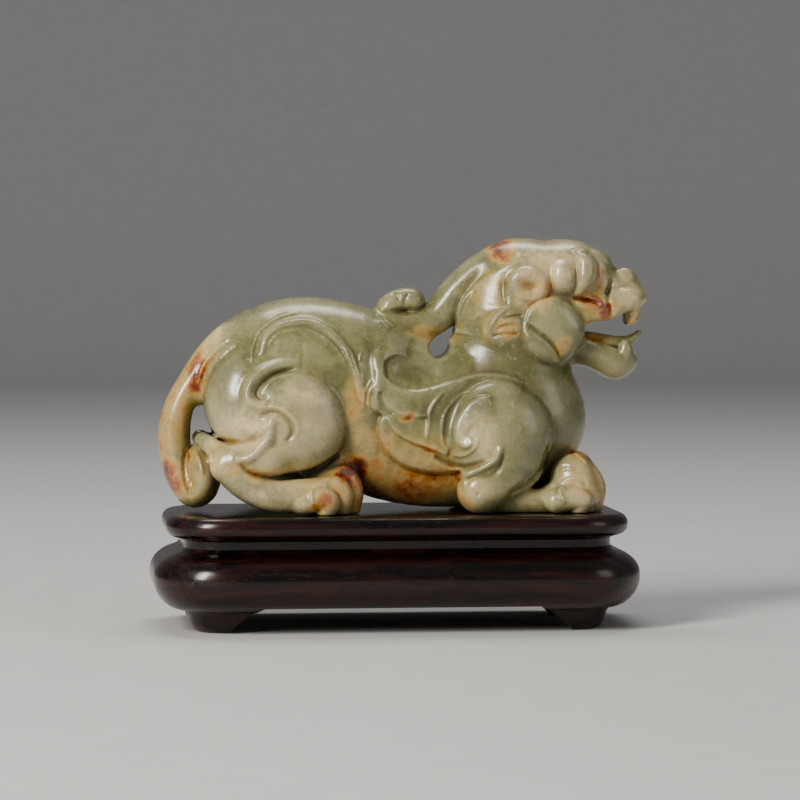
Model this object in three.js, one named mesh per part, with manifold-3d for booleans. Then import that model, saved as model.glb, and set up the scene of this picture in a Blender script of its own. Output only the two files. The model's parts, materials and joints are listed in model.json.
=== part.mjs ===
// A recumbent mythical beast carved in jade, resting on its dark hardwood stand.
// Millimetres, +Z up, nose towards +X; the origin is the middle of the whole work's underside.
import * as THREE from 'three';
import Module from 'manifold-3d';
import { mergeVertices } from 'three/addons/utils/BufferGeometryUtils.js';

// Driving dimensions
const BEAST_LENGTH = 120;         // tail to nose
const SEAT_GAP = 0.1;             // hairline between the beast's feet and the plate
const STAND_HEIGHT = 28;          // feet to plate top
const STAND_LENGTH = 118.4;       // over the belly of the body, the widest part
const STAND_WIDTH = 61;
const CORNER_RADIUS = 18;         // of the belly's plan
const PLATE_THICKNESS = 5.3;
const PLATE_INSET = 3;            // plate edge inside the belly, all round
const WAIST_INSET = 7.3;          // the narrow neck below the plate
const WAIST_HEIGHT = 3.3;
const BELLY_CENTRE = 13;          // height of the widest line
const BELLY_DEPTH = 7.2;          // how far the belly's curve runs back in
const FOOT_HEIGHT = 6.4;          // clear height below the apron
const FOOT_INSET = 7.6;           // top of the feet, inside the belly
const FOOT_LENGTH = 10;           // along the front, at the floor
const FOOT_DEPTH = 9;             // along the ends, at the floor
const FOOT_FLARE = 8.5;           // how much longer each foot is where it meets the apron

// The beast is laid out in parts: its length is 120 of them
const LENGTH_IN_PARTS = 120;
const GRID_STEP = 1.05;           // parts between samples of the form
const BEAST_TRIANGLES = 7000;
const FAR = 8;                    // distance given to samples with nothing near
const NEAR = 2.5;                 // margin round a shape in which its distance counts
const FLANK_START = 4;            // carved lines begin this far from the middle plane
const FLANK_FULL = 9;             // and have their whole height from here out

const JADE = new THREE.MeshStandardMaterial({ color: 0x8b8f6e, roughness: 0.3, metalness: 0 });
const HARDWOOD = new THREE.MeshStandardMaterial({ color: 0x1f0f0b, roughness: 0.4, metalness: 0 });

// Small helpers

function smoothMin(a, b, blend) {
  if (blend <= 0) return Math.min(a, b);
  const h = Math.max(blend - Math.abs(a - b), 0) / blend;
  return Math.min(a, b) - h * h * blend * 0.25;
}

function smoothStep(value, from, to) {
  return THREE.MathUtils.smoothstep(value, from, to);
}

// A smooth route through rows of numbers, as rows again, with a few steps between each two
function smoothRows(rows, steps = 5) {
  const wide = rows.map(([x, y, z, radius, breadth = 1]) => ({
    place: new THREE.Vector3(x, y, z),
    girth: new THREE.Vector3(radius, breadth, 0),
  }));
  const curve = (key) => new THREE.CatmullRomCurve3(wide.map((row) => row[key]), false, 'catmullrom', 0.5);
  const places = curve('place');
  const girths = curve('girth');
  const count = steps * (rows.length - 1);
  return Array.from({ length: count + 1 }, (_, i) => {
    const place = places.getPoint(i / count);
    const girth = girths.getPoint(i / count);
    return { x: place.x, y: place.y, z: place.z, radius: girth.x, breadth: girth.y };
  });
}

// A limb: rows of [x, y, z, radius, breadth], where breadth widens the section across the body
function limb(rows) {
  const path = smoothRows(rows);
  const box = new THREE.Box3();
  for (const p of path) {
    const reach = p.radius * Math.max(1, p.breadth);
    box.expandByPoint(new THREE.Vector3(p.x - reach, p.y - reach, p.z - reach));
    box.expandByPoint(new THREE.Vector3(p.x + reach, p.y + reach, p.z + reach));
  }
  const spans = path.slice(1).map((end, i) => spanDistance(path[i], end));
  const distance = (x, y, z) => spans.reduce((least, span) => Math.min(least, span(x, y, z)), Infinity);
  return { box, distance };
}

// Distance to one tapered span of a limb
function spanDistance(a, b) {
  const breadth = (a.breadth + b.breadth) / 2;
  const dx = b.x - a.x;
  const dy = (b.y - a.y) / breadth;
  const dz = b.z - a.z;
  const lengthSquared = Math.max(dx * dx + dy * dy + dz * dz, 1e-9);
  return (x, y, z) => {
    const px = x - a.x;
    const py = (y - a.y) / breadth;
    const pz = z - a.z;
    const t = THREE.MathUtils.clamp((px * dx + py * dy + pz * dz) / lengthSquared, 0, 1);
    const qx = px - t * dx;
    const qy = py - t * dy;
    const qz = pz - t * dz;
    const length = Math.hypot(qx, qy, qz) + 1e-6;
    const slope = Math.hypot(qx, qz, qy / breadth) / length;
    return (length - (a.radius + (b.radius - a.radius) * t)) / Math.max(slope, 0.3);
  };
}

// A ball: centre, half sizes, and turns about x, y and z in degrees
function ball(centre, half, turns = [0, 0, 0]) {
  const euler = new THREE.Euler(...turns.map(THREE.MathUtils.degToRad), 'ZYX');
  const undo = new THREE.Matrix4().makeRotationFromEuler(euler).transpose();
  const [e0, e1, e2, , e4, e5, e6, , e8, e9, e10] = undo.elements;
  const reach = Math.max(...half);
  const middle = new THREE.Vector3(...centre);
  const box = new THREE.Box3(middle.clone().subScalar(reach), middle.clone().addScalar(reach));
  const distance = (x, y, z) => {
    const px = x - centre[0];
    const py = y - centre[1];
    const pz = z - centre[2];
    const u = (e0 * px + e4 * py + e8 * pz) / half[0];
    const v = (e1 * px + e5 * py + e9 * pz) / half[1];
    const w = (e2 * px + e6 * py + e10 * pz) / half[2];
    const size = Math.hypot(u, v, w);
    return size * (size - 1) / (Math.hypot(u / half[0], v / half[1], w / half[2]) + 1e-9);
  };
  return { box, distance };
}

// The form: distances to its surface on a grid, negative inside
class Form {
  constructor(low, high, step) {
    this.step = step;
    this.low = low;
    this.count = low.map((value, axis) => Math.ceil((high[axis] - value) / step) + 1);
    this.values = new Float32Array(this.count[0] * this.count[1] * this.count[2]).fill(FAR);
  }

  at(axis, index) {
    return this.low[axis] + this.step * index;
  }

  index(i, j, k) {
    return (i * this.count[1] + j) * this.count[2] + k;
  }

  // Runs an action over the samples in a box and a margin round it
  within(box, margin, action) {
    const steps = (value, axis) => (value - this.low[axis]) / this.step;
    const from = box.min.toArray().map(
      (value, axis) => Math.max(0, Math.floor(steps(value - margin, axis))));
    const to = box.max.toArray().map(
      (value, axis) => Math.min(this.count[axis] - 1, Math.ceil(steps(value + margin, axis))));
    for (let i = from[0]; i <= to[0]; i++) {
      for (let j = from[1]; j <= to[1]; j++) {
        for (let k = from[2]; k <= to[2]; k++) {
          action(this.index(i, j, k), this.at(0, i), this.at(1, j), this.at(2, k), i, k);
        }
      }
    }
  }

  everywhere(action) {
    const high = this.count.map((n, axis) => this.at(axis, n - 1));
    this.within(new THREE.Box3(new THREE.Vector3(...this.low), new THREE.Vector3(...high)), 0, action);
  }

  add(shape, blend = 2) {
    this.within(shape.box, blend + NEAR, (n, x, y, z) => {
      this.values[n] = smoothMin(this.values[n], shape.distance(x, y, z), blend);
    });
  }

  cut(shape, blend = 1) {
    this.within(shape.box, blend + NEAR, (n, x, y, z) => {
      this.values[n] = -smoothMin(-this.values[n], shape.distance(x, y, z), blend);
    });
  }

  // Carves lines drawn on the side view into both flanks, fading out towards the ridge of the back
  carve(lines) {
    const height = new Float32Array(this.count[0] * this.count[2]);
    for (let i = 0; i < this.count[0]; i++) {
      for (let k = 0; k < this.count[2]; k++) {
        const spot = [this.at(0, i), this.at(2, k)];
        height[i * this.count[2] + k] = lines.reduce((sum, line) => sum + line(...spot), 0);
      }
    }
    this.everywhere((n, x, y, z, i, k) => {
      const flank = smoothStep(Math.abs(y), FLANK_START, FLANK_FULL);
      this.values[n] -= height[i * this.count[2] + k] * flank;
    });
  }

  // Cuts the underside flat at the seat
  seat() {
    this.everywhere((n, x, y, z) => {
      this.values[n] = Math.max(this.values[n], -z);
    });
  }
}

// Carved lines: each is a height over the side view, from a smooth route of [x, z] points

function carvedLine(points, shape) {
  const path = smoothRows(points.map(([x, z]) => [x, 0, z, 0]), 6);
  const runs = [0];
  for (let i = 1; i < path.length; i++) {
    runs.push(runs[i - 1] + Math.hypot(path[i].x - path[i - 1].x, path[i].z - path[i - 1].z));
  }
  const total = runs[runs.length - 1];
  const box = new THREE.Box2();
  box.setFromPoints(path.map((p) => new THREE.Vector2(p.x, p.z))).expandByScalar(shape.reach);
  return (x, z) => {
    if (x < box.min.x || x > box.max.x || z < box.min.y || z > box.max.y) return 0;
    let nearest = { distance: Infinity, run: 0, side: 0 };
    for (let i = 1; i < path.length; i++) {
      const a = path[i - 1];
      const length = runs[i] - runs[i - 1];
      const ux = (path[i].x - a.x) / length;
      const uz = (path[i].z - a.z) / length;
      const along = THREE.MathUtils.clamp((x - a.x) * ux + (z - a.z) * uz, 0, length);
      const distance = Math.hypot(x - a.x - along * ux, z - a.z - along * uz);
      if (distance < nearest.distance) {
        nearest = { distance, run: runs[i - 1] + along, side: ux * (z - a.z) - uz * (x - a.x) };
      }
    }
    const end = THREE.MathUtils.clamp(Math.min(nearest.run, total - nearest.run) / (total / 4), 0, 1);
    return shape.height(nearest, Math.sqrt(end * (2 - end)));
  };
}

// A raised fillet, or with a negative height a groove, thinning out at both ends
function fillet(height, width, ...points) {
  return carvedLine(points, {
    reach: width,
    height: ({ distance }, end) => {
      const across = distance / (width * (0.45 + 0.55 * end));
      return height * end * Math.max(1 - across * across, 0) ** 2;
    },
  });
}

// An overlapping edge: raised on the left of the line, sinking back over the fade
function overlap(height, width, fade, ...points) {
  return carvedLine(points, {
    reach: fade * 4,
    height: ({ distance, side }, end) => {
      const inward = side > 0 ? distance : -distance;
      const fall = Math.exp(-Math.max(inward, 0) / fade) * Math.max(1 - distance / (fade * 4), 0);
      return height * smoothStep(inward, -width, width) * fall * Math.min(end * 1.6, 1);
    },
  });
}

// The surface of a form as a closed triangle mesh, from the six tetrahedra of each grid cell

const CELL_CORNERS = Array.from({ length: 8 }, (_, n) => [n & 1, (n >> 1) & 1, (n >> 2) & 1]);
const CELL_TETRAHEDRA = [[1, 3], [3, 2], [2, 6], [6, 4], [4, 5], [5, 1]].map(([a, b]) => [0, 7, a, b]);

function surfaceOf(form) {
  const places = [];
  const faces = [];
  const known = new Map();
  const vertex = (a, b) => {
    const [first, second] = a.number < b.number ? [a, b] : [b, a];
    const key = first.number * form.values.length + second.number;
    if (!known.has(key)) {
      const t = THREE.MathUtils.clamp(first.value / (first.value - second.value), 0.03, 0.97);
      known.set(key, places.length);
      places.push(first.place.clone().lerp(second.place, t));
    }
    return known.get(key);
  };
  const addFace = (a, b, c, inner, outer) => {
    const normal = new THREE.Triangle(places[a], places[b], places[c]).getNormal(new THREE.Vector3());
    const outward = outer.place.clone().sub(inner.place);
    faces.push(normal.dot(outward) < 0 ? [a, c, b] : [a, b, c]);
  };
  const cell = (i, j, k) => {
    const corners = CELL_CORNERS.map(([a, b, c]) => {
      const number = form.index(i + a, j + b, k + c);
      const place = new THREE.Vector3(form.at(0, i + a), form.at(1, j + b), form.at(2, k + c));
      return { number, value: form.values[number], place };
    });
    for (const tetrahedron of CELL_TETRAHEDRA) {
      const points = tetrahedron.map((n) => corners[n]);
      const inside = points.filter((p) => p.value < 0);
      const outside = points.filter((p) => p.value >= 0);
      if (inside.length === 1) {
        addFace(...outside.map((p) => vertex(inside[0], p)), inside[0], outside[0]);
      } else if (inside.length === 3) {
        addFace(...inside.map((p) => vertex(p, outside[0])), inside[0], outside[0]);
      } else if (inside.length === 2) {
        const [p, q] = inside;
        const [r, s] = outside;
        addFace(vertex(p, r), vertex(p, s), vertex(q, s), p, r);
        addFace(vertex(p, r), vertex(q, s), vertex(q, r), p, r);
      }
    }
  };
  const [ni, nj, nk] = form.count;
  for (let i = 0; i < ni - 1; i++) {
    for (let j = 0; j < nj - 1; j++) {
      for (let k = 0; k < nk - 1; k++) {
        let inside = 0;
        for (const [a, b, c] of CELL_CORNERS) inside += form.values[form.index(i + a, j + b, k + c)] < 0;
        if (inside > 0 && inside < 8) cell(i, j, k);
      }
    }
  }
  return { places, faces };
}

// Thins a closed mesh: edges that carry the least form are folded away first

class Queue {
  constructor() {
    this.items = [];
  }

  push(item) {
    const items = this.items;
    let n = items.push(item) - 1;
    while (n > 0) {
      const parent = (n - 1) >> 1;
      if (items[parent].cost <= items[n].cost) break;
      [items[parent], items[n]] = [items[n], items[parent]];
      n = parent;
    }
  }

  pop() {
    const items = this.items;
    const top = items[0];
    const last = items.pop();
    if (items.length === 0) return top;
    items[0] = last;
    let n = 0;
    for (;;) {
      let least = n;
      for (const child of [2 * n + 1, 2 * n + 2]) {
        if (child < items.length && items[child].cost < items[least].cost) least = child;
      }
      if (least === n) return top;
      [items[least], items[n]] = [items[n], items[least]];
      n = least;
    }
  }
}

// The squared distance to a bundle of planes, as ten sums
class PlaneSum {
  constructor() {
    this.sums = new Float64Array(10);
  }

  addPlane(n, offset, weight) {
    const row = [n.x, n.y, n.z, offset];
    let slot = 0;
    for (let a = 0; a < 4; a++) {
      for (let b = a; b < 4; b++) this.sums[slot++] += weight * row[a] * row[b];
    }
  }

  addPlanes(other) {
    for (let n = 0; n < 10; n++) this.sums[n] += other.sums[n];
    return this;
  }

  cost({ x, y, z }) {
    const [xx, xy, xz, xw, yy, yz, yw, zz, zw, ww] = this.sums;
    return x * (xx * x + 2 * (xy * y + xz * z + xw))
      + y * (yy * y + 2 * (yz * z + yw))
      + z * (zz * z + 2 * zw)
      + ww;
  }

  // The point with the least cost, held near a guide where the planes leave it free
  best(guide, hold) {
    const [xx, xy, xz, xw, yy, yz, yw, zz, zw] = this.sums;
    const matrix = new THREE.Matrix3().set(xx + hold, xy, xz, xy, yy + hold, yz, xz, yz, zz + hold);
    if (Math.abs(matrix.determinant()) < 1e-12) return guide.clone();
    const target = new THREE.Vector3(guide.x * hold - xw, guide.y * hold - yw, guide.z * hold - zw);
    const point = target.applyMatrix3(matrix.invert());
    return point.distanceTo(guide) < 3 ? point : guide.clone();
  }
}

function thin({ places, faces }, target) {
  const around = places.map(() => new Set());
  const planes = places.map(() => new PlaneSum());
  const stamp = new Int32Array(places.length);
  const corner = new THREE.Triangle();
  faces.forEach((face, number) => {
    corner.set(...face.map((v) => places[v]));
    const normal = corner.getNormal(new THREE.Vector3());
    const area = corner.getArea();
    for (const v of face) {
      around[v].add(number);
      planes[v].addPlane(normal, -normal.dot(places[v]), area);
    }
  });
  const neighbours = (v) => new Set([...around[v]].flatMap((f) => faces[f]).filter((n) => n !== v));
  const queue = new Queue();
  const offer = (a, b) => {
    const middle = places[a].clone().add(places[b]).multiplyScalar(0.5);
    const sum = new PlaneSum().addPlanes(planes[a]).addPlanes(planes[b]);
    const point = sum.best(middle, 0.02);
    const cost = sum.cost(point) + 0.004 * places[a].distanceToSquared(places[b]);
    queue.push({ cost, a, b, point, mark: stamp[a] + stamp[b] });
  };
  places.forEach((_, v) => neighbours(v).forEach((n) => n > v && offer(v, n)));

  const keepsFacing = (v, other, point) => [...around[v]].every((f) => {
    if (faces[f].includes(other)) return true;
    const before = new THREE.Triangle(...faces[f].map((n) => places[n])).getNormal(new THREE.Vector3());
    const moved = new THREE.Triangle(...faces[f].map((n) => (n === v ? point : places[n])));
    return moved.getArea() > 1e-4 && moved.getNormal(new THREE.Vector3()).dot(before) > 0.5;
  });
  let left = faces.length;
  while (left > target && queue.items.length > 0) {
    const { a, b, point, mark } = queue.pop();
    if (!around[a].size || !around[b].size || mark !== stamp[a] + stamp[b]) continue;
    const nearB = neighbours(b);
    const shared = [...neighbours(a)].filter((n) => nearB.has(n));
    if (!nearB.has(a) || shared.length !== 2) continue;
    if (!keepsFacing(a, b, point) || !keepsFacing(b, a, point)) continue;
    for (const f of [...around[b]]) {
      if (faces[f].includes(a)) {
        faces[f].forEach((v) => around[v].delete(f));
        faces[f] = null;
        left -= 1;
      } else {
        faces[f] = faces[f].map((v) => (v === b ? a : v));
        around[a].add(f);
      }
    }
    around[b].clear();
    places[a].copy(point);
    planes[a].addPlanes(planes[b]);
    stamp[a] += 1;
    stamp[b] += 1;
    neighbours(a).forEach((n) => {
      stamp[n] += 1;
    });
    neighbours(a).forEach((n) => {
      neighbours(n).forEach((m) => (m === a || m > n || !neighbours(a).has(m)) && offer(n, m));
    });
  }
  return { places, faces: faces.filter((face) => face !== null) };
}

function geometryOf({ places, faces }) {
  const used = new Map();
  const positions = [];
  const index = faces.flat().map((v) => {
    if (!used.has(v)) {
      used.set(v, used.size);
      positions.push(...places[v].toArray());
    }
    return used.get(v);
  });
  const geometry = new THREE.BufferGeometry();
  geometry.setAttribute('position', new THREE.Float32BufferAttribute(positions, 3));
  geometry.setIndex(index);
  return geometry;
}

// The beast, in parts, with the seat at z = 0; the nose points to +x and side -1 is its right

const SIDES = [-1, 1];

function addTrunk(form) {
  form.add(limb([
    [-31.5, 0, 31, 13, 0.95], [-25, 0, 31, 20.6, 0.82], [-13, 0, 29.8, 20.8, 0.8], [1, 0, 23.2, 21.2, 0.8],
    [15, 0, 19.5, 18.9, 0.84], [27, 0, 21, 17, 0.86], [33, 0, 21.5, 13.8, 0.86],
  ]), 0);
  form.add(ball([34.5, 0, 22], [12.5, 13.5, 14]), 3);
}

function addNeckAndSkull(form) {
  const neck = [
    [28, 0, 27, 16, 0.8], [28.5, 0, 38, 14, 0.8], [29.5, 0, 48, 13, 0.85], [31, 0, 55, 10.5, 0.95],
  ];
  const skull = [
    [31, 0, 57, 8.6, 1.1], [38, 0, 57, 9, 1.15], [44, 0, 56.8, 9.2, 1.05], [48.5, 0, 55.5, 7.4, 1.1],
  ];
  const muzzle = [[46, 0, 51.5, 6, 1.25], [52, 0, 52.2, 5.8, 1.15], [57.5, 0, 52.8, 4.7, 1.15]];
  const jaw = [
    [40, 0, 42, 7, 1], [45, 0, 41, 5.4, 1.2], [50, 0, 38.4, 4.3, 1.35], [55, 0, 36.3, 4.3, 1.35],
    [57, 0, 36.4, 3.7, 1.3],
  ];
  form.add(limb(neck), 5);
  [skull, muzzle, jaw].forEach((rows) => form.add(limb(rows), 3));
}

// The lock of mane that runs down from the crown and curls up on the back
function addManeLock(form) {
  form.add(limb([
    [33, 0, 61, 4.6, 1.3], [28, 0, 61, 4.6, 1.2], [22, 0, 58.4, 4.4, 1.1], [16, 0, 53.2, 4.3, 1.1],
    [11, 0, 47.4, 4.2, 1.15], [5, 0, 44.9, 4.1, 1.2], [0, 0, 46, 3.6, 1.2], [-1, 0, 49.2, 3.1, 1.2],
    [1.6, 0, 51.3, 2.8, 1.2], [5, 0, 51.2, 2.9, 1.2], [5.2, 0, 49.2, 2, 1.2],
  ]), 1.6);
}

function addTail(form) {
  form.add(limb([
    [-35, 0, 42.5, 6, 1.3], [-40, 0, 41, 4.8, 1.2], [-45, 0, 37, 3.9, 1.2],
    [-49.3, 0, 31, 3.6, 1.2], [-52.2, 0, 25.8, 3.6, 1.2], [-53.5, 0, 20, 3.9, 1.1],
    [-53.3, 0, 15, 3.9, 1.2], [-52, 0, 9.2, 3.9, 1.4], [-49.2, 0, 4.7, 3.8, 1.7],
    [-46.8, 0, 6.2, 4.2, 1.9], [-46.8, 0, 10.5, 4.2, 1.8], [-47.6, 0, 13.6, 3.1, 1.6],
  ]), 1.6);
  form.add(limb([[-43, 0, 33, 4, 1.6], [-47, 0, 28.4, 2.6, 1.5]]), 2);
}

// One toe: how far out, where its front is, its height and its radius, with the length behind it
function addToe(form, side, [y, front, top, radius], knuckle) {
  form.add(limb([
    [front - 9, side * (y - 0.6), top - radius - 0.6, radius],
    [front - radius - knuckle, side * y, top - radius, radius],
    [front - radius, side * y, top * 0.45, radius * 0.95],
    [front - radius - 0.3, side * y, 1.2, radius * 0.8],
  ]), 0.7);
}

function addHindLeg(form, side) {
  form.add(ball([-26, side * 13.2, 22.6], [13.8, 8.8, 13.4]), 1.2);
  form.add(ball([-35.6, side * 9, 27], [10.8, 9.5, 12.6]), 3);
  form.add(limb([
    [-32, side * 15.5, 13.5, 6], [-37, side * 15.5, 13, 5.2], [-41.2, side * 15, 12.2, 4.4],
  ]), 1.5);
  form.add(limb([
    [-41.5, side * 13.5, 14.5, 3], [-45.4, side * 9.5, 16.6, 2.2], [-47, side * 6.5, 17.5, 2],
  ]), 1);
  form.add(limb([
    [-41.4, side * 15, 11.5, 4], [-37, side * 16.5, 7.8, 4.3], [-32, side * 17, 5.4, 4.3],
    [-25, side * 17, 4.6, 4.2], [-18, side * 15.5, 5, 4.6],
  ]), 1);
  form.add(ball([-16, side * 8, 10], [7, 5, 4.5]), 2);
  const toes = [
    [19.8, -13.6, 6.4, 2.7], [16.3, -10.4, 9.3, 2.9], [12.7, -7.7, 12, 3.1], [9.2, -9.2, 10.5, 2.9],
  ];
  toes.forEach((toe) => addToe(form, side, toe, 1.6));
}

function addForeLeg(form, side) {
  form.add(ball([24.4, side * 12.6, 18.4], [13.4, 8.9, 13.4]), 1.2);
  form.add(limb([[28, side * 12.8, 12, 7.5], [24, side * 14, 8, 6.6], [19.8, side * 15.3, 5.8, 6.1]]), 1.5);
  form.add(limb([
    [21, side * 14.5, 4, 4.2], [30, side * 13, 4.2, 4.2],
    [37, side * 13.2, 4.8, 4.6], [43, side * 13, 6, 5.4],
  ]), 0.8);
  form.add(ball([42, side * 11.5, 7.5], [6.5, 6, 6.5]), 2);
  const toes = [
    [17.8, 48.1, 8, 2.8], [14.3, 51.2, 11.4, 3], [10.8, 51.8, 13.6, 3], [7.3, 50.2, 12.2, 2.8],
  ];
  toes.forEach((toe) => addToe(form, side, toe, 2.4));
}

function addCheek(form, side) {
  form.add(ball([38, side * 8.4, 45.3], [6.9, 4.4, 7.1]), 1);
  form.add(ball([43.6, side * 7.4, 44.6], [2.8, 3, 3.6]), 2);
  form.add(ball([35.8, side * 8, 40.2], [5.6, 4.2, 4.6], [0, -30, 0]), 0.6);
  form.add(ball([26.2, side * 9, 44.2], [5.4, 3.6, 5.2], [0, 30, 0]), 1);
  form.add(ball([32, side * 9.8, 55.5], [5, 3, 4.5], [0, 8, 0]), 0.7);
  form.cut(ball([31.9, side * 13.4, 55], [3.5, 2.4, 2.9]), 1);
}

function addBrowAndEye(form, side) {
  form.add(ball([41.4, side * 9.2, 56.7], [3.2, 3, 3.9], [0, -15, 0]), 0.6);
  form.cut(limb([
    [43, side * 10.8, 52.4, 0.4], [44.6, side * 11.4, 54.5, 0.6],
    [45, side * 11.5, 57.5, 0.7], [44.6, side * 11, 60.5, 0.5],
  ]), 0.5);
  form.add(limb([
    [43.6, side * 8.6, 52.3, 0.8], [46.2, side * 9.2, 54, 1.7], [47.4, side * 9.2, 57, 2.2],
    [47.2, side * 8.4, 60.2, 2.3], [46.2, side * 7.2, 62.2, 1.8],
  ]), 0.7);
  form.add(ball([49.6, side * 3.4, 60], [4.4, 4, 3.8]), 1);
  form.cut(limb([
    [44.2, side * 10.2, 51.3, 0.5], [47.2, side * 9.6, 52, 1.1], [50, side * 9, 53.4, 1.3],
    [52.5, side * 8.2, 56.6, 1], [53.6, side * 6.5, 59, 0.8],
  ]), 0.6);
  form.add(ball([50.2, side * 5.9, 56.2], [2.9, 2.9, 3.9]), 0.4);
}

function addMuzzle(form, side) {
  form.add(limb([
    [45.4, side * 8.2, 50.2, 1.2], [49, side * 8, 50.4, 1.6], [52.2, side * 7, 51, 1.6],
  ]), 1.4);
  form.add(limb([
    [47, side * 7.2, 47.2, 1.3], [52, side * 7, 47.4, 1.5], [54.4, side * 6.2, 48.6, 1.8],
  ]), 1.4);
  form.add(limb([
    [54.6, side * 4.6, 51.8, 3.2], [58.2, side * 4, 52.2, 2.9], [60.3, side * 2.2, 52.2, 2.2],
  ]), 0.8);
  form.add(ball([57, side * 2.8, 56.8], [2.7, 2.3, 2.5]), 0.6);
}

function openMouth(form) {
  form.add(ball([58.4, 0, 56], [2.4, 3.4, 2.5]), 1);
  form.add(ball([54.5, 0, 35.8], [4, 4.9, 3.9]), 1);
  form.cut(limb([
    [48, 0, 43.4, 2, 5], [52, 0, 43.3, 2.6, 5], [56, 0, 44.2, 3.5, 4],
    [60, 0, 44.6, 4.4, 4], [66, 0, 45.2, 5, 4],
  ]), 0.8);
  form.cut(limb([
    [50, 0, 42.5, 1.9, 1.8], [54, 0, 40.6, 2.4, 1.6], [58, 0, 40.2, 2.8, 1.5], [60, 0, 40.2, 2.8, 1.5],
  ]), 0.8);
  form.add(limb([
    [48, 0, 41.2, 2.4, 1.7], [52, 0, 40.8, 2.2, 1.6], [56, 0, 40.6, 1.8, 1.5], [59.2, 0, 41.6, 1.2, 1.5],
    [61, 0, 43.1, 0.8, 1.5],
  ]), 0.8);
}

function addFangs(form, side) {
  form.add(limb([[59, side * 3.7, 50, 2.3], [59.4, side * 3.7, 47.6, 1.7], [58.9, side * 3.7, 45.9, 1]]), 0.5);
  form.add(limb([
    [57, side * 3.6, 37.5, 2.1], [57.1, side * 3.8, 39.4, 1.7], [56.9, side * 3.8, 40.8, 0.9],
  ]), 0.5);
}

function haunchLines() {
  return [
    fillet(1, 2.3, [-36.5, 37.5], [-36, 42], [-33, 45.6], [-28.5, 47.6], [-22.5, 47.7], [-17, 45],
      [-13, 40.5], [-11, 35.5], [-9.8, 30], [-9.3, 26.5]),
    fillet(1.3, 2.3, [-25, 36], [-30, 35.6], [-34.5, 33.4], [-36.5, 30], [-35.6, 27.3], [-33, 27]),
    fillet(-1, 1.7, [-36, 23.2], [-33, 24.2], [-30.3, 23.8], [-28.3, 22], [-28, 19.3], [-29.3, 17.6]),
    fillet(1.2, 2.4, [-31.2, 22.6], [-31.8, 19.8], [-33, 16.8], [-36, 14.8], [-40, 13.6]),
  ];
}

function wingLines() {
  return [
    overlap(1.7, 1, 5, [16, 9.8], [12, 9.4], [7, 9.6], [2, 10.8], [-2, 13], [-4.6, 17],
      [-5.3, 21.5], [-5.6, 23.5]),
    overlap(1.3, 1, 4, [7, 23.4], [4, 23.2], [0, 24], [-3, 26], [-5, 29], [-5.6, 34], [-4.6, 38]),
    fillet(-1.5, 4.5, [0, 35.5], [3, 35]),
    fillet(-1, 1.7, [-2, 32.5], [3, 30], [8, 30.2], [13, 32.3], [18, 34], [24, 34.6], [29, 34],
      [31, 32]),
    fillet(-0.9, 1.6, [10.5, 30], [8.3, 27], [7, 23.5], [6.6, 20.8], [6.5, 18.5]),
  ];
}

function shoulderLines() {
  return [
    fillet(-1.2, 1.8, [17, 30.6], [12.6, 27.8], [10.4, 23.4], [10, 19], [11, 14.8], [13.5, 12.2],
      [17, 11.4], [21, 12], [24, 14]),
    fillet(-1, 1.7, [19, 29], [15.4, 25.8], [13.6, 21.6], [13.6, 18], [15, 15.8], [17.5, 15.8],
      [18.8, 18.2]),
    fillet(1.2, 2.3, [26, 16], [24.8, 12.4], [22, 10.4], [17, 9]),
    fillet(0.9, 2, [14, 47], [14.2, 50], [16.5, 54], [20, 57.5], [24, 60], [28, 62]),
  ];
}

function beastGeometry() {
  const form = new Form([-60, -25.2, -1.5 * GRID_STEP], [65, 25.2, 69], GRID_STEP);
  addTrunk(form);
  addNeckAndSkull(form);
  addManeLock(form);
  addTail(form);
  for (const side of SIDES) {
    addHindLeg(form, side);
    addForeLeg(form, side);
    addCheek(form, side);
    addBrowAndEye(form, side);
    addMuzzle(form, side);
  }
  openMouth(form);
  SIDES.forEach((side) => addFangs(form, side));
  form.cut(limb([[11.6, -14, 40.4, 2.4], [11.8, 0, 40.4, 2.4], [11.9, 14, 40.4, 2.4]]), 0.8);
  form.carve([...haunchLines(), ...wingLines(), ...shoulderLines()]);
  form.seat();
  const geometry = geometryOf(thin(surfaceOf(form), BEAST_TRIANGLES));
  const unit = BEAST_LENGTH / LENGTH_IN_PARTS;
  return geometry.scale(unit, unit, unit);
}

// The stand: one profile swept round a rounded rectangle, with the space between the feet cut out

function arc(centre, radii, fromDegrees, toDegrees, steps) {
  return Array.from({ length: steps + 1 }, (_, i) => {
    const angle = THREE.MathUtils.degToRad(THREE.MathUtils.lerp(fromDegrees, toDegrees, i / steps));
    const x = centre[0] + radii[0] * Math.cos(angle);
    const y = centre[1] + radii[1] * Math.sin(angle);
    return new THREE.Vector2(x, y);
  });
}

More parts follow.
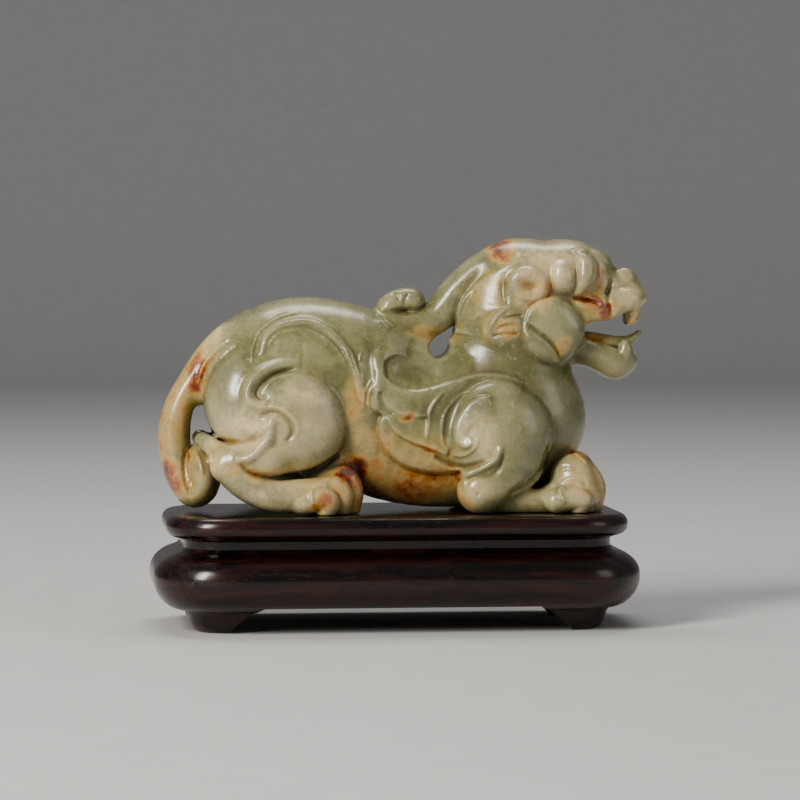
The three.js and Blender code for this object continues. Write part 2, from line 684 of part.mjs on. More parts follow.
// Offsets from the core rectangle against height, from the floor up to the plate's top
function standProfile() {
  const plateBottom = STAND_HEIGHT - PLATE_THICKNESS;
  const waistBottom = plateBottom - WAIST_HEIGHT;
  const edgeRadius = PLATE_THICKNESS / 2;
  const plateEdge = CORNER_RADIUS - PLATE_INSET - edgeRadius;
  const waist = CORNER_RADIUS - WAIST_INSET;
  const foot = CORNER_RADIUS - FOOT_INSET;
  const belly = CORNER_RADIUS - BELLY_DEPTH;
  return [
    new THREE.Vector2(0, 0),
    new THREE.Vector2(foot - 2.8, 0),
    new THREE.Vector2(foot - 2.1, 0.5),
    new THREE.Vector2(foot - 1.2, 2),
    new THREE.Vector2(foot - 0.7, 3.8),
    new THREE.Vector2(foot, 4.9),
    ...arc([belly, BELLY_CENTRE], [BELLY_DEPTH, BELLY_CENTRE - 5.2], -86, 0, 8),
    ...arc([belly - 1.4, BELLY_CENTRE], [BELLY_DEPTH + 1.4, waistBottom - BELLY_CENTRE], 0, 72, 6).slice(1),
    new THREE.Vector2(waist + 0.6, waistBottom),
    new THREE.Vector2(waist, waistBottom + 0.8),
    new THREE.Vector2(waist, plateBottom - 0.6),
    ...arc([plateEdge, plateBottom + edgeRadius], [edgeRadius, edgeRadius], -90, 90, 9),
    new THREE.Vector2(0, STAND_HEIGHT),
  ];
}

// Sweeps a profile round a rectangle with rounded corners; offset 0 is drawn in to the middle
function sweepRoundRectangle(profile, length, width, radius, cornerSteps) {
  const lathe = new THREE.LatheGeometry(profile, 4 * cornerSteps);
  const core = new THREE.Vector2(length / 2 - radius, width / 2 - radius);
  const position = lathe.getAttribute('position');
  for (let n = 0; n < position.count; n++) {
    const ray = Math.floor(n / profile.length) % (4 * cornerSteps);
    const { x: offset, y: height } = profile[n % profile.length];
    const quarter = Math.floor(ray / cornerSteps);
    const angle = (quarter + (ray % cornerSteps) / (cornerSteps - 1)) * Math.PI / 2;
    const signX = quarter === 0 || quarter === 3 ? 1 : -1;
    const signY = quarter < 2 ? 1 : -1;
    const coreShare = offset > 0 ? 1 : 0;
    const x = signX * core.x * coreShare + offset * Math.cos(angle);
    const y = signY * core.y * coreShare + offset * Math.sin(angle);
    position.setXYZ(n, x, y, height);
  }
  return lathe;
}

// The space between two feet, as a solid along the y axis: narrow at the top, with slanting sides
function archGeometry(halfGap, depth) {
  const shape = new THREE.Shape();
  const top = halfGap - FOOT_FLARE;
  shape.moveTo(-halfGap, -1);
  shape.lineTo(halfGap, -1);
  shape.lineTo(halfGap, 0);
  shape.quadraticCurveTo(halfGap - FOOT_FLARE * 0.35, FOOT_HEIGHT * 0.55, top, FOOT_HEIGHT);
  shape.lineTo(-top, FOOT_HEIGHT);
  shape.quadraticCurveTo(-halfGap + FOOT_FLARE * 0.35, FOOT_HEIGHT * 0.55, -halfGap, 0);
  const arch = new THREE.ExtrudeGeometry(shape, { depth, bevelEnabled: false, curveSegments: 8 });
  return arch.translate(0, 0, -depth / 2).rotateX(Math.PI / 2);
}

function standGeometry(wasm) {
  const toSolid = (geometry) => {
    const bare = geometry.index ? geometry : mergeVertices(geometry);
    bare.deleteAttribute('normal');
    bare.deleteAttribute('uv');
    const merged = mergeVertices(bare, 1e-4);
    const index = [...merged.index.array];
    const kept = [];
    for (let n = 0; n < index.length; n += 3) {
      const [a, b, c] = index.slice(n, n + 3);
      if (a !== b && b !== c && c !== a) kept.push(a, b, c);
    }
    const mesh = new wasm.Mesh({
      numProp: 3,
      vertProperties: new Float32Array(merged.getAttribute('position').array),
      triVerts: new Uint32Array(kept),
    });
    return new wasm.Manifold(mesh);
  };
  const body = toSolid(sweepRoundRectangle(standProfile(), STAND_LENGTH, STAND_WIDTH, CORNER_RADIUS, 9));
  const footLine = STAND_LENGTH / 2 - FOOT_INSET;
  const footEnd = STAND_WIDTH / 2 - FOOT_INSET;
  const frontArch = toSolid(archGeometry(footLine - FOOT_LENGTH, STAND_WIDTH + 2));
  const endArch = toSolid(archGeometry(footEnd - FOOT_DEPTH, STAND_LENGTH + 2).rotateZ(Math.PI / 2));
  const cut = body.subtract(frontArch).subtract(endArch).getMesh();
  const geometry = new THREE.BufferGeometry();
  geometry.setAttribute('position', new THREE.BufferAttribute(cut.vertProperties, 3));
  geometry.setIndex(new THREE.BufferAttribute(cut.triVerts, 1));
  return geometry;
}

const wasm = await Module();
wasm.setup();

const beast = new THREE.Mesh(beastGeometry(), JADE);
beast.name = 'beast';
beast.position.z = STAND_HEIGHT + SEAT_GAP;

const stand = new THREE.Mesh(standGeometry(wasm), HARDWOOD);
stand.name = 'stand';

const carving = new THREE.Group();
carving.add(beast, stand);
const whole = new THREE.Box3().setFromObject(carving).getCenter(new THREE.Vector3());
carving.position.x = -whole.x;

export default carving;
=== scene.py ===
"""Jade mythical beast lying on a dark hardwood stand, in a plain pale studio.

The beast is carved as one skin from rounded limbs and balls, measured in millimetres from the top
of the stand. The stand is modelled from a swept moulding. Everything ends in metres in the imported
frame.
"""

import json
import logging
import math
from collections.abc import Iterable, Sequence
from dataclasses import dataclass
from enum import Enum

import bmesh
import bpy
import numpy as np
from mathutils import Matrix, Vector

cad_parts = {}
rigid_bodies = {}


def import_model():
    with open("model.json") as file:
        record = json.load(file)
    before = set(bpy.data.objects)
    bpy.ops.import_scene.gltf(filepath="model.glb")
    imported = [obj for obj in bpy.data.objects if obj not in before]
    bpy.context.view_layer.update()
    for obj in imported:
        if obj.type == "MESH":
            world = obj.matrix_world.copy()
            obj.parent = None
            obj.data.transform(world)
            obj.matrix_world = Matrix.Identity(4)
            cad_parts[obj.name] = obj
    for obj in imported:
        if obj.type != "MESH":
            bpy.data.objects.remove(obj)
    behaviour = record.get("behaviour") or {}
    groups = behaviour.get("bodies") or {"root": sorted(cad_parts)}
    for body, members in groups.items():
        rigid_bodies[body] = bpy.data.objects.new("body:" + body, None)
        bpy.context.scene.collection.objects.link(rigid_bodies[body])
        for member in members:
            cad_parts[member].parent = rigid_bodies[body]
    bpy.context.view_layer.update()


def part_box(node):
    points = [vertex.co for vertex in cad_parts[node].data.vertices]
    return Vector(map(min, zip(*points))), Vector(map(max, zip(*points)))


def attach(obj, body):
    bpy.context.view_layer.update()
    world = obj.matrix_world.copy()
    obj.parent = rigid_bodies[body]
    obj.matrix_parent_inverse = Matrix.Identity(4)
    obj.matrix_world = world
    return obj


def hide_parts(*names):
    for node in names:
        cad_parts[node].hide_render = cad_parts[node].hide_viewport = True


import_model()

log = logging.getLogger("jade_beast")

# A millimetre in metres, and where the beast's own origin lies in the frame, in millimetres
MM = 0.001
BEAST_SHIFT = (-1.653, 0.0, 28.1)

# What keeps a division off zero, and the slack within which two places count as one
TINY = 1e-9
SLACK = 1e-6

# Distances in millimetres: of empty clay, round a limb where nothing is near, and the margin round
# a form in which the skin may still move
EMPTY = 8.0
NOTHING_NEAR = 9.0
FORM_MARGIN = 2.5

# The flattest slope by which a flattened limb's distance is corrected
LEAST_SLOPE = 0.3

# Carved lines: steps on each span, share of the width at the very end and what it swells by, how
# many fades away a lip is gone, how fast a lip rises at its ends, and the drawing board's pitch
# as a share of the grid's step
LINE_STEPS = 6
LINE_END_WIDTH = 0.45
LINE_SWELL = 0.55
LIP_FADES = 4
LIP_EASE = 1.6
BOARD_PITCH = 0.8

Point = tuple[float, ...]
Grid = np.ndarray


# Helpers for Blender's own tools


def select_only(piece: bpy.types.Object) -> None:
    """Leave one piece selected and active.

    Args:
        piece: The object that the next operators work on.
    """
    for other in bpy.context.view_layer.objects:
        other.select_set(False)
    piece.select_set(True)
    bpy.context.view_layer.objects.active = piece


def settle(piece: bpy.types.Object) -> None:
    """Move a piece's place, turn and size into its mesh.

    Args:
        piece: The object that ends at the origin, unturned.
    """
    select_only(piece)
    bpy.ops.object.transform_apply(location=True, rotation=True, scale=True)


def apply_modifiers(piece: bpy.types.Object) -> None:
    """Apply every modifier of a piece, first to last.

    Args:
        piece: The object whose modifiers become mesh.
    """
    select_only(piece)
    for modifier in list(piece.modifiers):
        bpy.ops.object.modifier_apply(modifier=modifier.name)


def name_piece(piece: bpy.types.Object, name: str) -> bpy.types.Object:
    """Give a piece and its mesh the same name.

    Args:
        piece: The object to name.
        name: Its new name.

    Returns:
        The same object.
    """
    piece.name = name
    piece.data.name = name
    return piece


# Carving in clay


def smooth_rows(rows: Sequence[Point], steps: int) -> Grid:
    """Run a smooth curve through rows of numbers.

    Args:
        rows: Points with any values that go with them.
        steps: Steps on each span.

    Returns:
        The denser rows, the given ones among them.
    """
    given = np.asarray(rows, float)
    ends = np.vstack([2 * given[0] - given[1], given, 2 * given[-1] - given[-2]])
    t = np.linspace(0, 1, steps, endpoint=False)[:, None]
    parts = []
    for a, b, c, d in zip(ends[:-3], ends[1:-2], ends[2:-1], ends[3:]):
        square = 2 * a - 5 * b + 4 * c - d
        cube = -a + 3 * b - 3 * c + d
        parts.append(0.5 * (2 * b + (c - a) * t + square * t**2 + cube * t**3))
    return np.vstack(parts + [given[-1:]])


def smooth_min(a: Grid, b: Grid, blend: float) -> Grid:
    """Join two distances with a soft fillet.

    Args:
        a: Distances to one form.
        b: Distances to the other.
        blend: Width of the fillet, nothing for a sharp joint.

    Returns:
        Distances to both forms together.
    """
    if blend <= 0:
        return np.minimum(a, b)
    near = np.maximum(blend - np.abs(a - b), 0) / blend
    return np.minimum(a, b) - near * near * blend * 0.25


def smooth_step(value: Grid, low: float, high: float) -> Grid:
    """Ease from 0 at one value to 1 at another.

    Args:
        value: Numbers to ease.
        low: Where the result is 0.
        high: Where the result is 1.

    Returns:
        Numbers from 0 to 1.
    """
    t = np.clip((value - low) / (high - low), 0, 1)
    return t * t * (3 - 2 * t)


@dataclass(frozen=True)
class Limb:
    """A limb through rows of x, y, z, radius and, where it isn't round, breadth over height."""

    rows: tuple[Point, ...]
    steps: int = 5

    def path(self) -> Grid:
        """Give the limb's smooth rows, breadth included."""
        rows = [row if len(row) == 5 else (*row, 1.0) for row in self.rows]
        return smooth_rows(rows, self.steps)

    def reach(self) -> tuple[Grid, Grid]:
        """Give the lowest and highest corners of the limb."""
        path = self.path()
        thick = (path[:, 3] * np.maximum(1, path[:, 4])).max()
        return path[:, :3].min(0) - thick, path[:, :3].max(0) + thick

    def distance(self, clay: "Clay", margin: float) -> tuple[tuple[slice, ...], Grid]:
        """Measure the distance to the limb on the part of the grid around it.

        Args:
            clay: The grid.
            margin: How far round the limb the distance is wanted.

        Returns:
            The part of the grid, and the distances on it.
        """
        whole, *_ = clay.window(*self.reach(), margin)
        result = np.full(clay.values[whole].shape, NOTHING_NEAR, np.float32)
        path = self.path()
        for a, b in zip(path[:-1], path[1:]):
            thick = max(a[3] * max(1, a[4]), b[3] * max(1, b[4]))
            low = np.minimum(a[:3], b[:3]) - thick
            high = np.maximum(a[:3], b[:3]) + thick
            part, x, y, z = clay.window(low, high, margin)
            breadth = (a[4] + b[4]) / 2
            along = (b - a)[:3].copy()
            along[1] /= breadth
            px, py, pz = x - a[0], (y - a[1]) / breadth, z - a[2]
            ahead = px * along[0] + py * along[1] + pz * along[2]
            t = np.clip(ahead / max(along @ along, TINY), 0, 1)
            qx, qy, qz = px - t * along[0], py - t * along[1], pz - t * along[2]
            length = np.sqrt(qx * qx + qy * qy + qz * qz) + SLACK
            slope = np.sqrt(qx * qx + qz * qz + (qy / breadth) ** 2) / length
            gap = (length - (a[3] + (b[3] - a[3]) * t)) / np.maximum(slope, LEAST_SLOPE)
            inner = tuple(slice(p.start - w.start, p.stop - w.start) for p, w in zip(part, whole))
            result[inner] = np.minimum(result[inner], gap)
        return whole, result


@dataclass(frozen=True)
class Ball:
    """An egg-shaped ball: its centre, its three radii and its tilt in degrees about y."""

    centre: Point
    radii: Point
    tilt: float = 0.0

    def rotation(self) -> Grid:
        """Give the matrix that tilts the ball."""
        cosine, sine = math.cos(math.radians(self.tilt)), math.sin(math.radians(self.tilt))
        return np.array([[cosine, 0, sine], [0, 1, 0], [-sine, 0, cosine]])

    def distance(self, clay: "Clay", margin: float) -> tuple[tuple[slice, ...], Grid]:
        """Measure the distance to the ball on the part of the grid around it.

        Args:
            clay: The grid.
            margin: How far round the ball the distance is wanted.

        Returns:
            The part of the grid, and the distances on it.
        """
        turn, radii, centre = self.rotation(), np.array(self.radii), np.array(self.centre)
        extent = np.sqrt(((turn * radii[None, :]) ** 2).sum(1))
        part, x, y, z = clay.window(centre - extent, centre + extent, margin)
        px, py, pz = x - centre[0], y - centre[1], z - centre[2]
        near, far = 0, 0
        for column, radius in zip(turn.T, radii):
            local = column[0] * px + column[1] * py + column[2] * pz
            near = near + (local / radius) ** 2
            far = far + (local / radius**2) ** 2
        near, far = np.sqrt(near), np.sqrt(far) + TINY
        return part, (near * (near - 1) / far).astype(np.float32)


class Stroke(Enum):
    """How a carved line stands on the skin."""

    RIDGE = "ridge"
    GROOVE = "groove"
    LIP = "lip"


@dataclass(frozen=True)
class CarvedLine:
    """A line carved on both flanks, drawn as points of x and z the way the near flank is seen.

    A lip stands up along its left and fades away from the line; fade is how far that takes. Taper
    is the share of the line's length over which each end rises.
    """

    stroke: Stroke
    height: float
    width: float
    points: tuple[Point, ...]
    fade: float = 4.0
    taper: float = 0.25

    def relief(self, x: Grid, z: Grid) -> Grid:
        """Give the height of the line over the side view.

        Args:
            x: Places along the beast.
            z: Heights.

        Returns:
            How far the skin stands out at each place, negative where it is cut in.
        """
        path = smooth_rows(self.points, LINE_STEPS)
        shape = np.broadcast(x, z).shape
        best, along, side = np.full(shape, 1e9), np.zeros(shape), np.zeros(shape)
        lengths = np.hypot(*np.diff(path, axis=0).T)
        starts = np.concatenate([[0], np.cumsum(lengths)])
        for a, b, length, start in zip(path[:-1], path[1:], lengths, starts):
            run = (b - a) / max(length, TINY)
            rx, rz = x - a[0], z - a[1]
            t = np.clip(rx * run[0] + rz * run[1], 0, length)
            gap = np.hypot(rx - t * run[0], rz - t * run[1])
            closer = gap < best
            best = np.where(closer, gap, best)
            along = np.where(closer, start + t, along)
            side = np.where(closer, run[0] * rz - run[1] * rx, side)
        to_end = np.minimum(along, starts[-1] - along)
        ease = np.clip(to_end / max(self.taper * starts[-1], SLACK), 0, 1)
        ease = np.sqrt(ease * (2 - ease))
        if self.stroke is Stroke.LIP:
            signed = np.where(side > 0, best, -best)
            up = smooth_step(signed, -self.width, self.width)
            fall = np.exp(-np.maximum(signed, 0) / self.fade)
            fall = fall * np.clip(1 - best / (self.fade * LIP_FADES), 0, 1)
            return self.height * up * fall * np.clip(ease * LIP_EASE, 0, 1)
        width = self.width * (LINE_END_WIDTH + LINE_SWELL * ease)
        bump = np.clip(1 - (best / width) ** 2, 0, 1) ** 2
        return (self.height if self.stroke is Stroke.RIDGE else -self.height) * bump * ease


class Clay:
    """A block of space as distances on a grid: solid where they are below nothing."""

    def __init__(self, low: Point, high: Point, step: float) -> None:
        """Lay out an empty block.

        Args:
            low: Lowest corner.
            high: Highest corner.
            step: Size of a grid cell.
        """
        self.step = step
        self.low = np.array(low, float)
        counts = np.ceil((np.array(high, float) - self.low) / step).astype(int) + 1
        self.axes = [
            (self.low[i] + step * np.arange(counts[i])).astype(np.float32) for i in range(3)
        ]
        self.values = np.full(tuple(counts), EMPTY, np.float32)

    def window(self, low: Grid, high: Grid, margin: float) -> tuple:
        """Find the part of the grid round a box.

        Args:
            low: Lowest corner of the box.
            high: Highest corner.
            margin: Extra width on every side.

        Returns:
            The slices of the grid, then its x, y and z values shaped to combine.
        """
        part = []
        for i in range(3):
            count = len(self.axes[i])
            first = max(0, math.floor((low[i] - margin - self.low[i]) / self.step))
            last = min(count, math.ceil((high[i] + margin - self.low[i]) / self.step) + 1)
            first = min(first, count - 1)
            part.append(slice(first, max(last, first + 1)))
        x, y, z = (self.axes[i][part[i]] for i in range(3))
        return tuple(part), x[:, None, None], y[None, :, None], z[None, None, :]

    def add(self, form: Limb | Ball, blend: float = 2.0) -> None:
        """Join a form to the clay.

        Args:
            form: The limb or ball.
            blend: Width of the fillet at the joint.
        """
        part, gap = form.distance(self, blend + FORM_MARGIN)
        self.values[part] = smooth_min(self.values[part], gap, blend)

    def cut(self, form: Limb | Ball, blend: float = 1.0) -> None:
        """Cut a form out of the clay.

        Args:
            form: The limb or ball.
            blend: Width of the rounding at the edge.
        """
        part, gap = form.distance(self, blend + FORM_MARGIN)
        self.values[part] = -smooth_min(-self.values[part], gap, blend)

    def carve(self, lines: Iterable[CarvedLine], eye: Point, bare: float, full: float) -> None:
        """Raise or cut lines on both flanks, the far one a mirror image of the near one.

        Args:
            lines: The lines, drawn as they are seen on the middle plane.
            eye: Where they are seen from.
            bare: Distance from the middle plane up to which nothing is carved.
            full: Distance from which the lines have their whole height.
        """
        x, y, z = self.axes
        pitch = self.step * BOARD_PITCH
        spread = eye[1] / (eye[1] + float(np.abs(y).max()))
        ends = [
            [eye[i] + (axis[n] - eye[i]) * spread for n in (0, -1)] for i, axis in ((0, x), (2, z))
        ]
        board_x, board_z = (
            np.arange(low - 2 * pitch, high + 3 * pitch, pitch) for low, high in ends
        )
        height = np.zeros((len(board_x), len(board_z)))
        for line in lines:
            height += line.relief(board_x[:, None], board_z[None, :])
        for layer, depth in enumerate(np.abs(y)):
            strength = float(smooth_step(depth, bare, full))
            if strength == 0:
                continue
            spread = eye[1] / (eye[1] + depth)
            across = (eye[0] + (x - eye[0]) * spread - board_x[0]) / pitch
            up = (eye[2] + (z - eye[2]) * spread - board_z[0]) / pitch
            column, row = across.astype(int), up.astype(int)
            right, above = (across - column)[:, None], (up - row)[None, :]
            lines_here = height[column] * (1 - right) + height[column + 1] * right
            lines_here = lines_here[:, row] * (1 - above) + lines_here[:, row + 1] * above
            self.values[:, layer, :] -= (lines_here * strength).astype(np.float32)

    def seat(self) -> None:
        """Cut the clay flat along the plane it lies on."""
        self.values = np.maximum(self.values, -self.axes[2][None, None, :])

    def skin(self) -> tuple[Grid, Grid]:
        """Wrap the clay in quads, one vertex in each cell that the surface crosses.

        Returns:
            The vertices and the four corners of each face, facing outward.
        """
        values, shape = self.values, self.values.shape
        solid = values < 0
        corners = [(i, j, k) for i in (0, 1) for j in (0, 1) for k in (0, 1)]
        count = np.zeros(tuple(n - 1 for n in shape), np.int8)
        for i, j, k in corners:
            count += solid[i:shape[0] - 1 + i, j:shape[1] - 1 + j, k:shape[2] - 1 + k]
        crossed = (count > 0) & (count < 8)
        cells = np.argwhere(crossed)
        numbers = np.full(crossed.shape, -1, np.int64)
        numbers[crossed] = np.arange(len(cells))
        total, hits = np.zeros((len(cells), 3)), np.zeros(len(cells))
        for corner in corners:
            for axis in range(3):
                if corner[axis]:
                    continue
                other = list(corner)
                other[axis] = 1
                here = values[tuple((cells + corner).T)].astype(float)
                there = values[tuple((cells + other).T)].astype(float)
                through = (here < 0) != (there < 0)
                point = np.zeros((len(cells), 3)) + corner
                point[:, axis] += np.where(through, here / np.where(through, here - there, 1), 0)
                total += point * through[:, None]
                hits += through
        vertices = (cells + total / hits[:, None]) * self.step + self.low
        faces = []
        for axis in range(3):
            ahead = [0, 0, 0]
            ahead[axis] = 1
            behind_part = solid[:shape[0] - ahead[0], :shape[1] - ahead[1], :shape[2] - ahead[2]]
            ahead_part = solid[ahead[0]:, ahead[1]:, ahead[2]:]
            edges = np.argwhere(behind_part != ahead_part)
            u, v = (other for other in range(3) if other != axis)
            inside = (edges[:, u] > 0) & (edges[:, v] > 0)
            inside &= (edges[:, u] < shape[u] - 1) & (edges[:, v] < shape[v] - 1)
            edges = edges[inside]
            du, dv = np.eye(3, dtype=int)[u], np.eye(3, dtype=int)[v]
            around = [edges - du - dv, edges - dv, edges, edges - du]
            quads = np.stack([numbers[tuple(cell.T)] for cell in around], 1)
            outward = behind_part[tuple(edges.T)]
            keep = outward if axis != 1 else ~outward
            faces.append(np.where(keep[:, None], quads, quads[:, ::-1]))
        return vertices, np.vstack(faces)


# Shader maths


class Signal:
    """A number that varies over a surface, written in sums like any other number."""

    def __init__(self, tree: bpy.types.NodeTree, socket: bpy.types.NodeSocket) -> None:
        """Wrap a socket.

        Args:
            tree: The node tree that holds it.
            socket: The output that carries the number.
        """
        self.tree = tree
        self.socket = socket

    def combine(self, operation: str, left: "Signal | float", right: "Signal | float") -> "Signal":
        """Add one Math node.

        Args:
            operation: The node's operation.
            left: First value.
            right: Second value.

        Returns:
            The node's result.
        """
        node = self.tree.nodes.new("ShaderNodeMath")
        node.operation = operation
        for place, value in enumerate((left, right)):
            if isinstance(value, Signal):
                self.tree.links.new(value.socket, node.inputs[place])
            else:
                node.inputs[place].default_value = value
        return Signal(self.tree, node.outputs[0])

    def __add__(self, other: "Signal | float") -> "Signal":
        """Add."""
        return self.combine("ADD", self, other)

    def __radd__(self, other: float) -> "Signal":
        """Add to a number."""
        return self.combine("ADD", other, self)

    def __sub__(self, other: "Signal | float") -> "Signal":
        """Subtract."""
        return self.combine("SUBTRACT", self, other)

    def __rsub__(self, other: float) -> "Signal":
        """Subtract from a number."""
        return self.combine("SUBTRACT", other, self)

    def __mul__(self, other: "Signal | float") -> "Signal":
        """Multiply."""
        return self.combine("MULTIPLY", self, other)

    def __rmul__(self, other: float) -> "Signal":
        """Multiply a number."""
        return self.combine("MULTIPLY", other, self)

    def __or__(self, other: "Signal | float") -> "Signal":
        """Take the larger of two."""
        return self.combine("MAXIMUM", self, other)

    def size(self) -> "Signal":
        """Drop the sign."""
        return self.combine("ABSOLUTE", self, 0.0)


class Workbench:
    """A material's node tree and the one way that nodes are laid on it."""

    def __init__(self, name: str) -> None:
        """Start a material with only its shader.

        Args:
            name: The material's name.
        """
        self.material = bpy.data.materials.new(name)
        self.material.use_nodes = True
        self.tree = self.material.node_tree
        self.shader = self.tree.nodes["Principled BSDF"]
        self.place = self.node("ShaderNodeTexCoord").outputs["Object"]

    def node(
        self,
        kind: str,
        settings: dict[str, object] | None = None,
        inputs: dict[str | int, object] | None = None,
    ) -> bpy.types.Node:
        """Add one node.

        Args:
            kind: The node's type.
            settings: Its properties, set before its sockets.
            inputs: What goes into its sockets: a Signal, another socket or a plain value.

        Returns:
            The new node.
        """
        node = self.tree.nodes.new(kind)
        for key, value in (settings or {}).items():
            setattr(node, key, value)
        for key, value in (inputs or {}).items():
            self.feed(node.inputs[key], value)
        return node

    def feed(self, socket: bpy.types.NodeSocket, value: object) -> None:
        """Link or set one input.

        Args:
            socket: The input.
            value: A Signal, another socket or a plain value.
        """
        if isinstance(value, Signal):
            self.tree.links.new(value.socket, socket)
        elif isinstance(value, bpy.types.NodeSocket):
            self.tree.links.new(value, socket)
        else:
            socket.default_value = value

    def vector(self, operation: str, left: object, right: object) -> bpy.types.NodeSocket:
        """Combine two vectors.

        Args:
            operation: The Vector Math operation.
            left: First vector.
            right: Second vector.

        Returns:
            The resulting vector.
        """
        inputs = {0: left, 1: right}
        return self.node("ShaderNodeVectorMath", {"operation": operation}, inputs).outputs[0]

    def length(self, vector: bpy.types.NodeSocket) -> Signal:
        """Measure a vector."""
        node = self.node("ShaderNodeVectorMath", {"operation": "LENGTH"}, {0: vector})
        return Signal(self.tree, node.outputs["Value"])

    def millimetres(self) -> bpy.types.NodeSocket:
        """Give the place on the piece in millimetres."""
        return self.vector("MULTIPLY", self.place, (1 / MM,) * 3)

    def noise(
        self, place: object, scale: float, detail: float = 2.0, roughness: float = 0.5
    ) -> Signal:
        """Give cloudy noise.

        Args:
            place: Where it is read.
            scale: How many clouds to a unit of place.
            detail: Finer layers.
            roughness: How strong the finer layers are.

        Returns:
            A number round one half.
        """
        inputs = {"Vector": place, "Scale": scale, "Detail": detail, "Roughness": roughness}
        return Signal(self.tree, self.node("ShaderNodeTexNoise", inputs=inputs).outputs[0])

    def wander(
        self, place: object, scale: float, detail: float, reach: Point
    ) -> bpy.types.NodeSocket:
        """Shift a place by three noises at once, so that edges read there waver.

        Args:
            place: The place.
            scale: How many clouds to a unit of place.
            detail: Finer layers.
            reach: How far it may shift along each axis, from one end to the other.

        Returns:
            The shifted place.
        """
        inputs = {"Vector": place, "Scale": scale, "Detail": detail}
        noises = self.node("ShaderNodeTexNoise", inputs=inputs).outputs["Color"]
        shift = self.vector("SUBTRACT", noises, (0.5, 0.5, 0.5))
        return self.vector("ADD", place, self.vector("MULTIPLY", shift, reach))

    def ease(
        self, value: Signal, low: float, high: float, start: float = 0.0, end: float = 1.0
    ) -> Signal:
        """Turn a range of a number into a smooth step.

        Args:
            value: The number.
            low: Where the step starts.
            high: Where it ends.
            start: What it is at the start.
            end: What it is at the end.

        Returns:
            The eased number.
        """
        inputs = {"Value": value, "From Min": low, "From Max": high, "To Min": start, "To Max": end}
        node = self.node("ShaderNodeMapRange", {"interpolation_type": "SMOOTHSTEP"}, inputs)
        return Signal(self.tree, node.outputs[0])

    def mix(self, factor: object, first: object, second: object) -> bpy.types.NodeSocket:
        """Mix two colours.

        Args:
            factor: How much of the second, 0 to 1.
            first: First colour.
            second: Second colour.

        Returns:
            The mixed colour.
        """
        first, second = (
            (*colour, 1.0) if isinstance(colour, tuple) else colour for colour in (first, second)
        )
        # The Mix node's colour sockets have the same names as its others, so they go by number
        inputs = {0: factor, 6: first, 7: second}
        return self.node("ShaderNodeMix", {"data_type": "RGBA"}, inputs).outputs[2]

    def bump(self, height: Signal, strength: float, depth: float) -> bpy.types.NodeSocket:
        """Turn a height into a fine unevenness of the surface.

        Args:
            height: The height, 0 to 1.
            strength: How strongly it shows.
            depth: What 1 stands for, in metres.

        Returns:
            The uneven normal.
        """
        inputs = {"Strength": strength, "Distance": depth, "Height": height}
        return self.node("ShaderNodeBump", inputs=inputs).outputs[0]

    def attribute(self, name: str) -> Signal:
        """Read a number kept on the piece's vertices."""
        node = self.node("ShaderNodeAttribute", {"attribute_name": name})
        return Signal(self.tree, node.outputs["Fac"])

    def finish(self, values: dict[str, object]) -> bpy.types.Material:
        """Feed the shader.

        Args:
            values: What goes into its named sockets.

        Returns:
            The finished material.
        """
        for name, value in values.items():
            self.feed(self.shader.inputs[name], value)
        return self.material


# Finishes


@dataclass(frozen=True)
class Patch:
    """A patch of the stone: centre and three reaches in millimetres, and how strong it is."""

    centre: Point
    reach: Point
    strength: float = 1.0


PALE_PATCHES = (
    Patch((-33, -17, 20), (17, 12, 12)),
    Patch((-44, -14, 13), (8, 10, 8)),
    Patch((-24, -18, 5), (19, 9, 6)),
    Patch((-43, 0, 40), (8, 9, 7)),
    Patch((8, -8, 58), (9, 6, 5), 0.4),
    Patch((-22, -20, 30), (8, 6, 5), 0.8),
    Patch((-18, -21, 20), (8, 6, 9), 0.7),
    Patch((19, -19, 18), (5.5, 7, 6.5), 0.75),
    Patch((20, -16, 5), (7, 9, 5.5)),
    Patch((46, -13, 6), (9, 13, 9)),
    Patch((36, -12, 3), (10, 8, 4), 0.8),
    Patch((38, -3, 60), (12, 17, 8)),
    Patch((33, -11, 55), (7, 6, 6)),
    Patch((47, -3, 58), (7, 13, 7)),
    Patch((58, 0, 52), (7, 12, 6)),
    Patch((55, 0, 33.5), (7, 8, 3.5), 0.6),
    Patch((25, -11, 47), (5, 6, 5), 0.7),
    Patch((8, -19, 12.4), (9, 6, 2.4), 0.8),
    Patch((30, 18, 14), (12, 9, 8), 0.8),
    Patch((-36, 17, 18), (13, 9, 12), 0.8),
    Patch((2, 18, 26), (12, 7, 7), 0.6),
)

OCHRE_PATCHES = (
    Patch((-53, 0, 22), (8, 9, 22)),
    Patch((-48, 0, 8), (9, 10, 11)),
    Patch((-46, 0, 36), (7, 8, 8), 0.8),
    Patch((0, -12, 6), (30, 16, 8)),
    Patch((-6, -17, 15), (8, 9, 9), 0.8),
    Patch((4, -19, 14), (14, 8, 7), 0.7),
    Patch((10, -6, 43), (8, 8, 4), 0.8),
    Patch((22, -8, 52), (7, 7, 8), 0.6),
    Patch((34, -11, 53.5), (6, 6, 5), 0.6),
    Patch((26, -11, 44), (6, 6, 5), 0.8),
    Patch((50, -8, 50), (8, 7, 5), 0.8),
    Patch((47, -12, 8), (8, 14, 8), 0.6),
    Patch((21, -17, 6), (7, 8, 4), 0.5),
    Patch((-43, -15, 14), (7, 8, 8), 0.5),
    Patch((-22, -18, 8), (10, 8, 6), 0.4),
    Patch((-5, 16, 12), (16, 9, 9), 0.7),
    Patch((44, 10, 46), (9, 6, 8), 0.6),
)

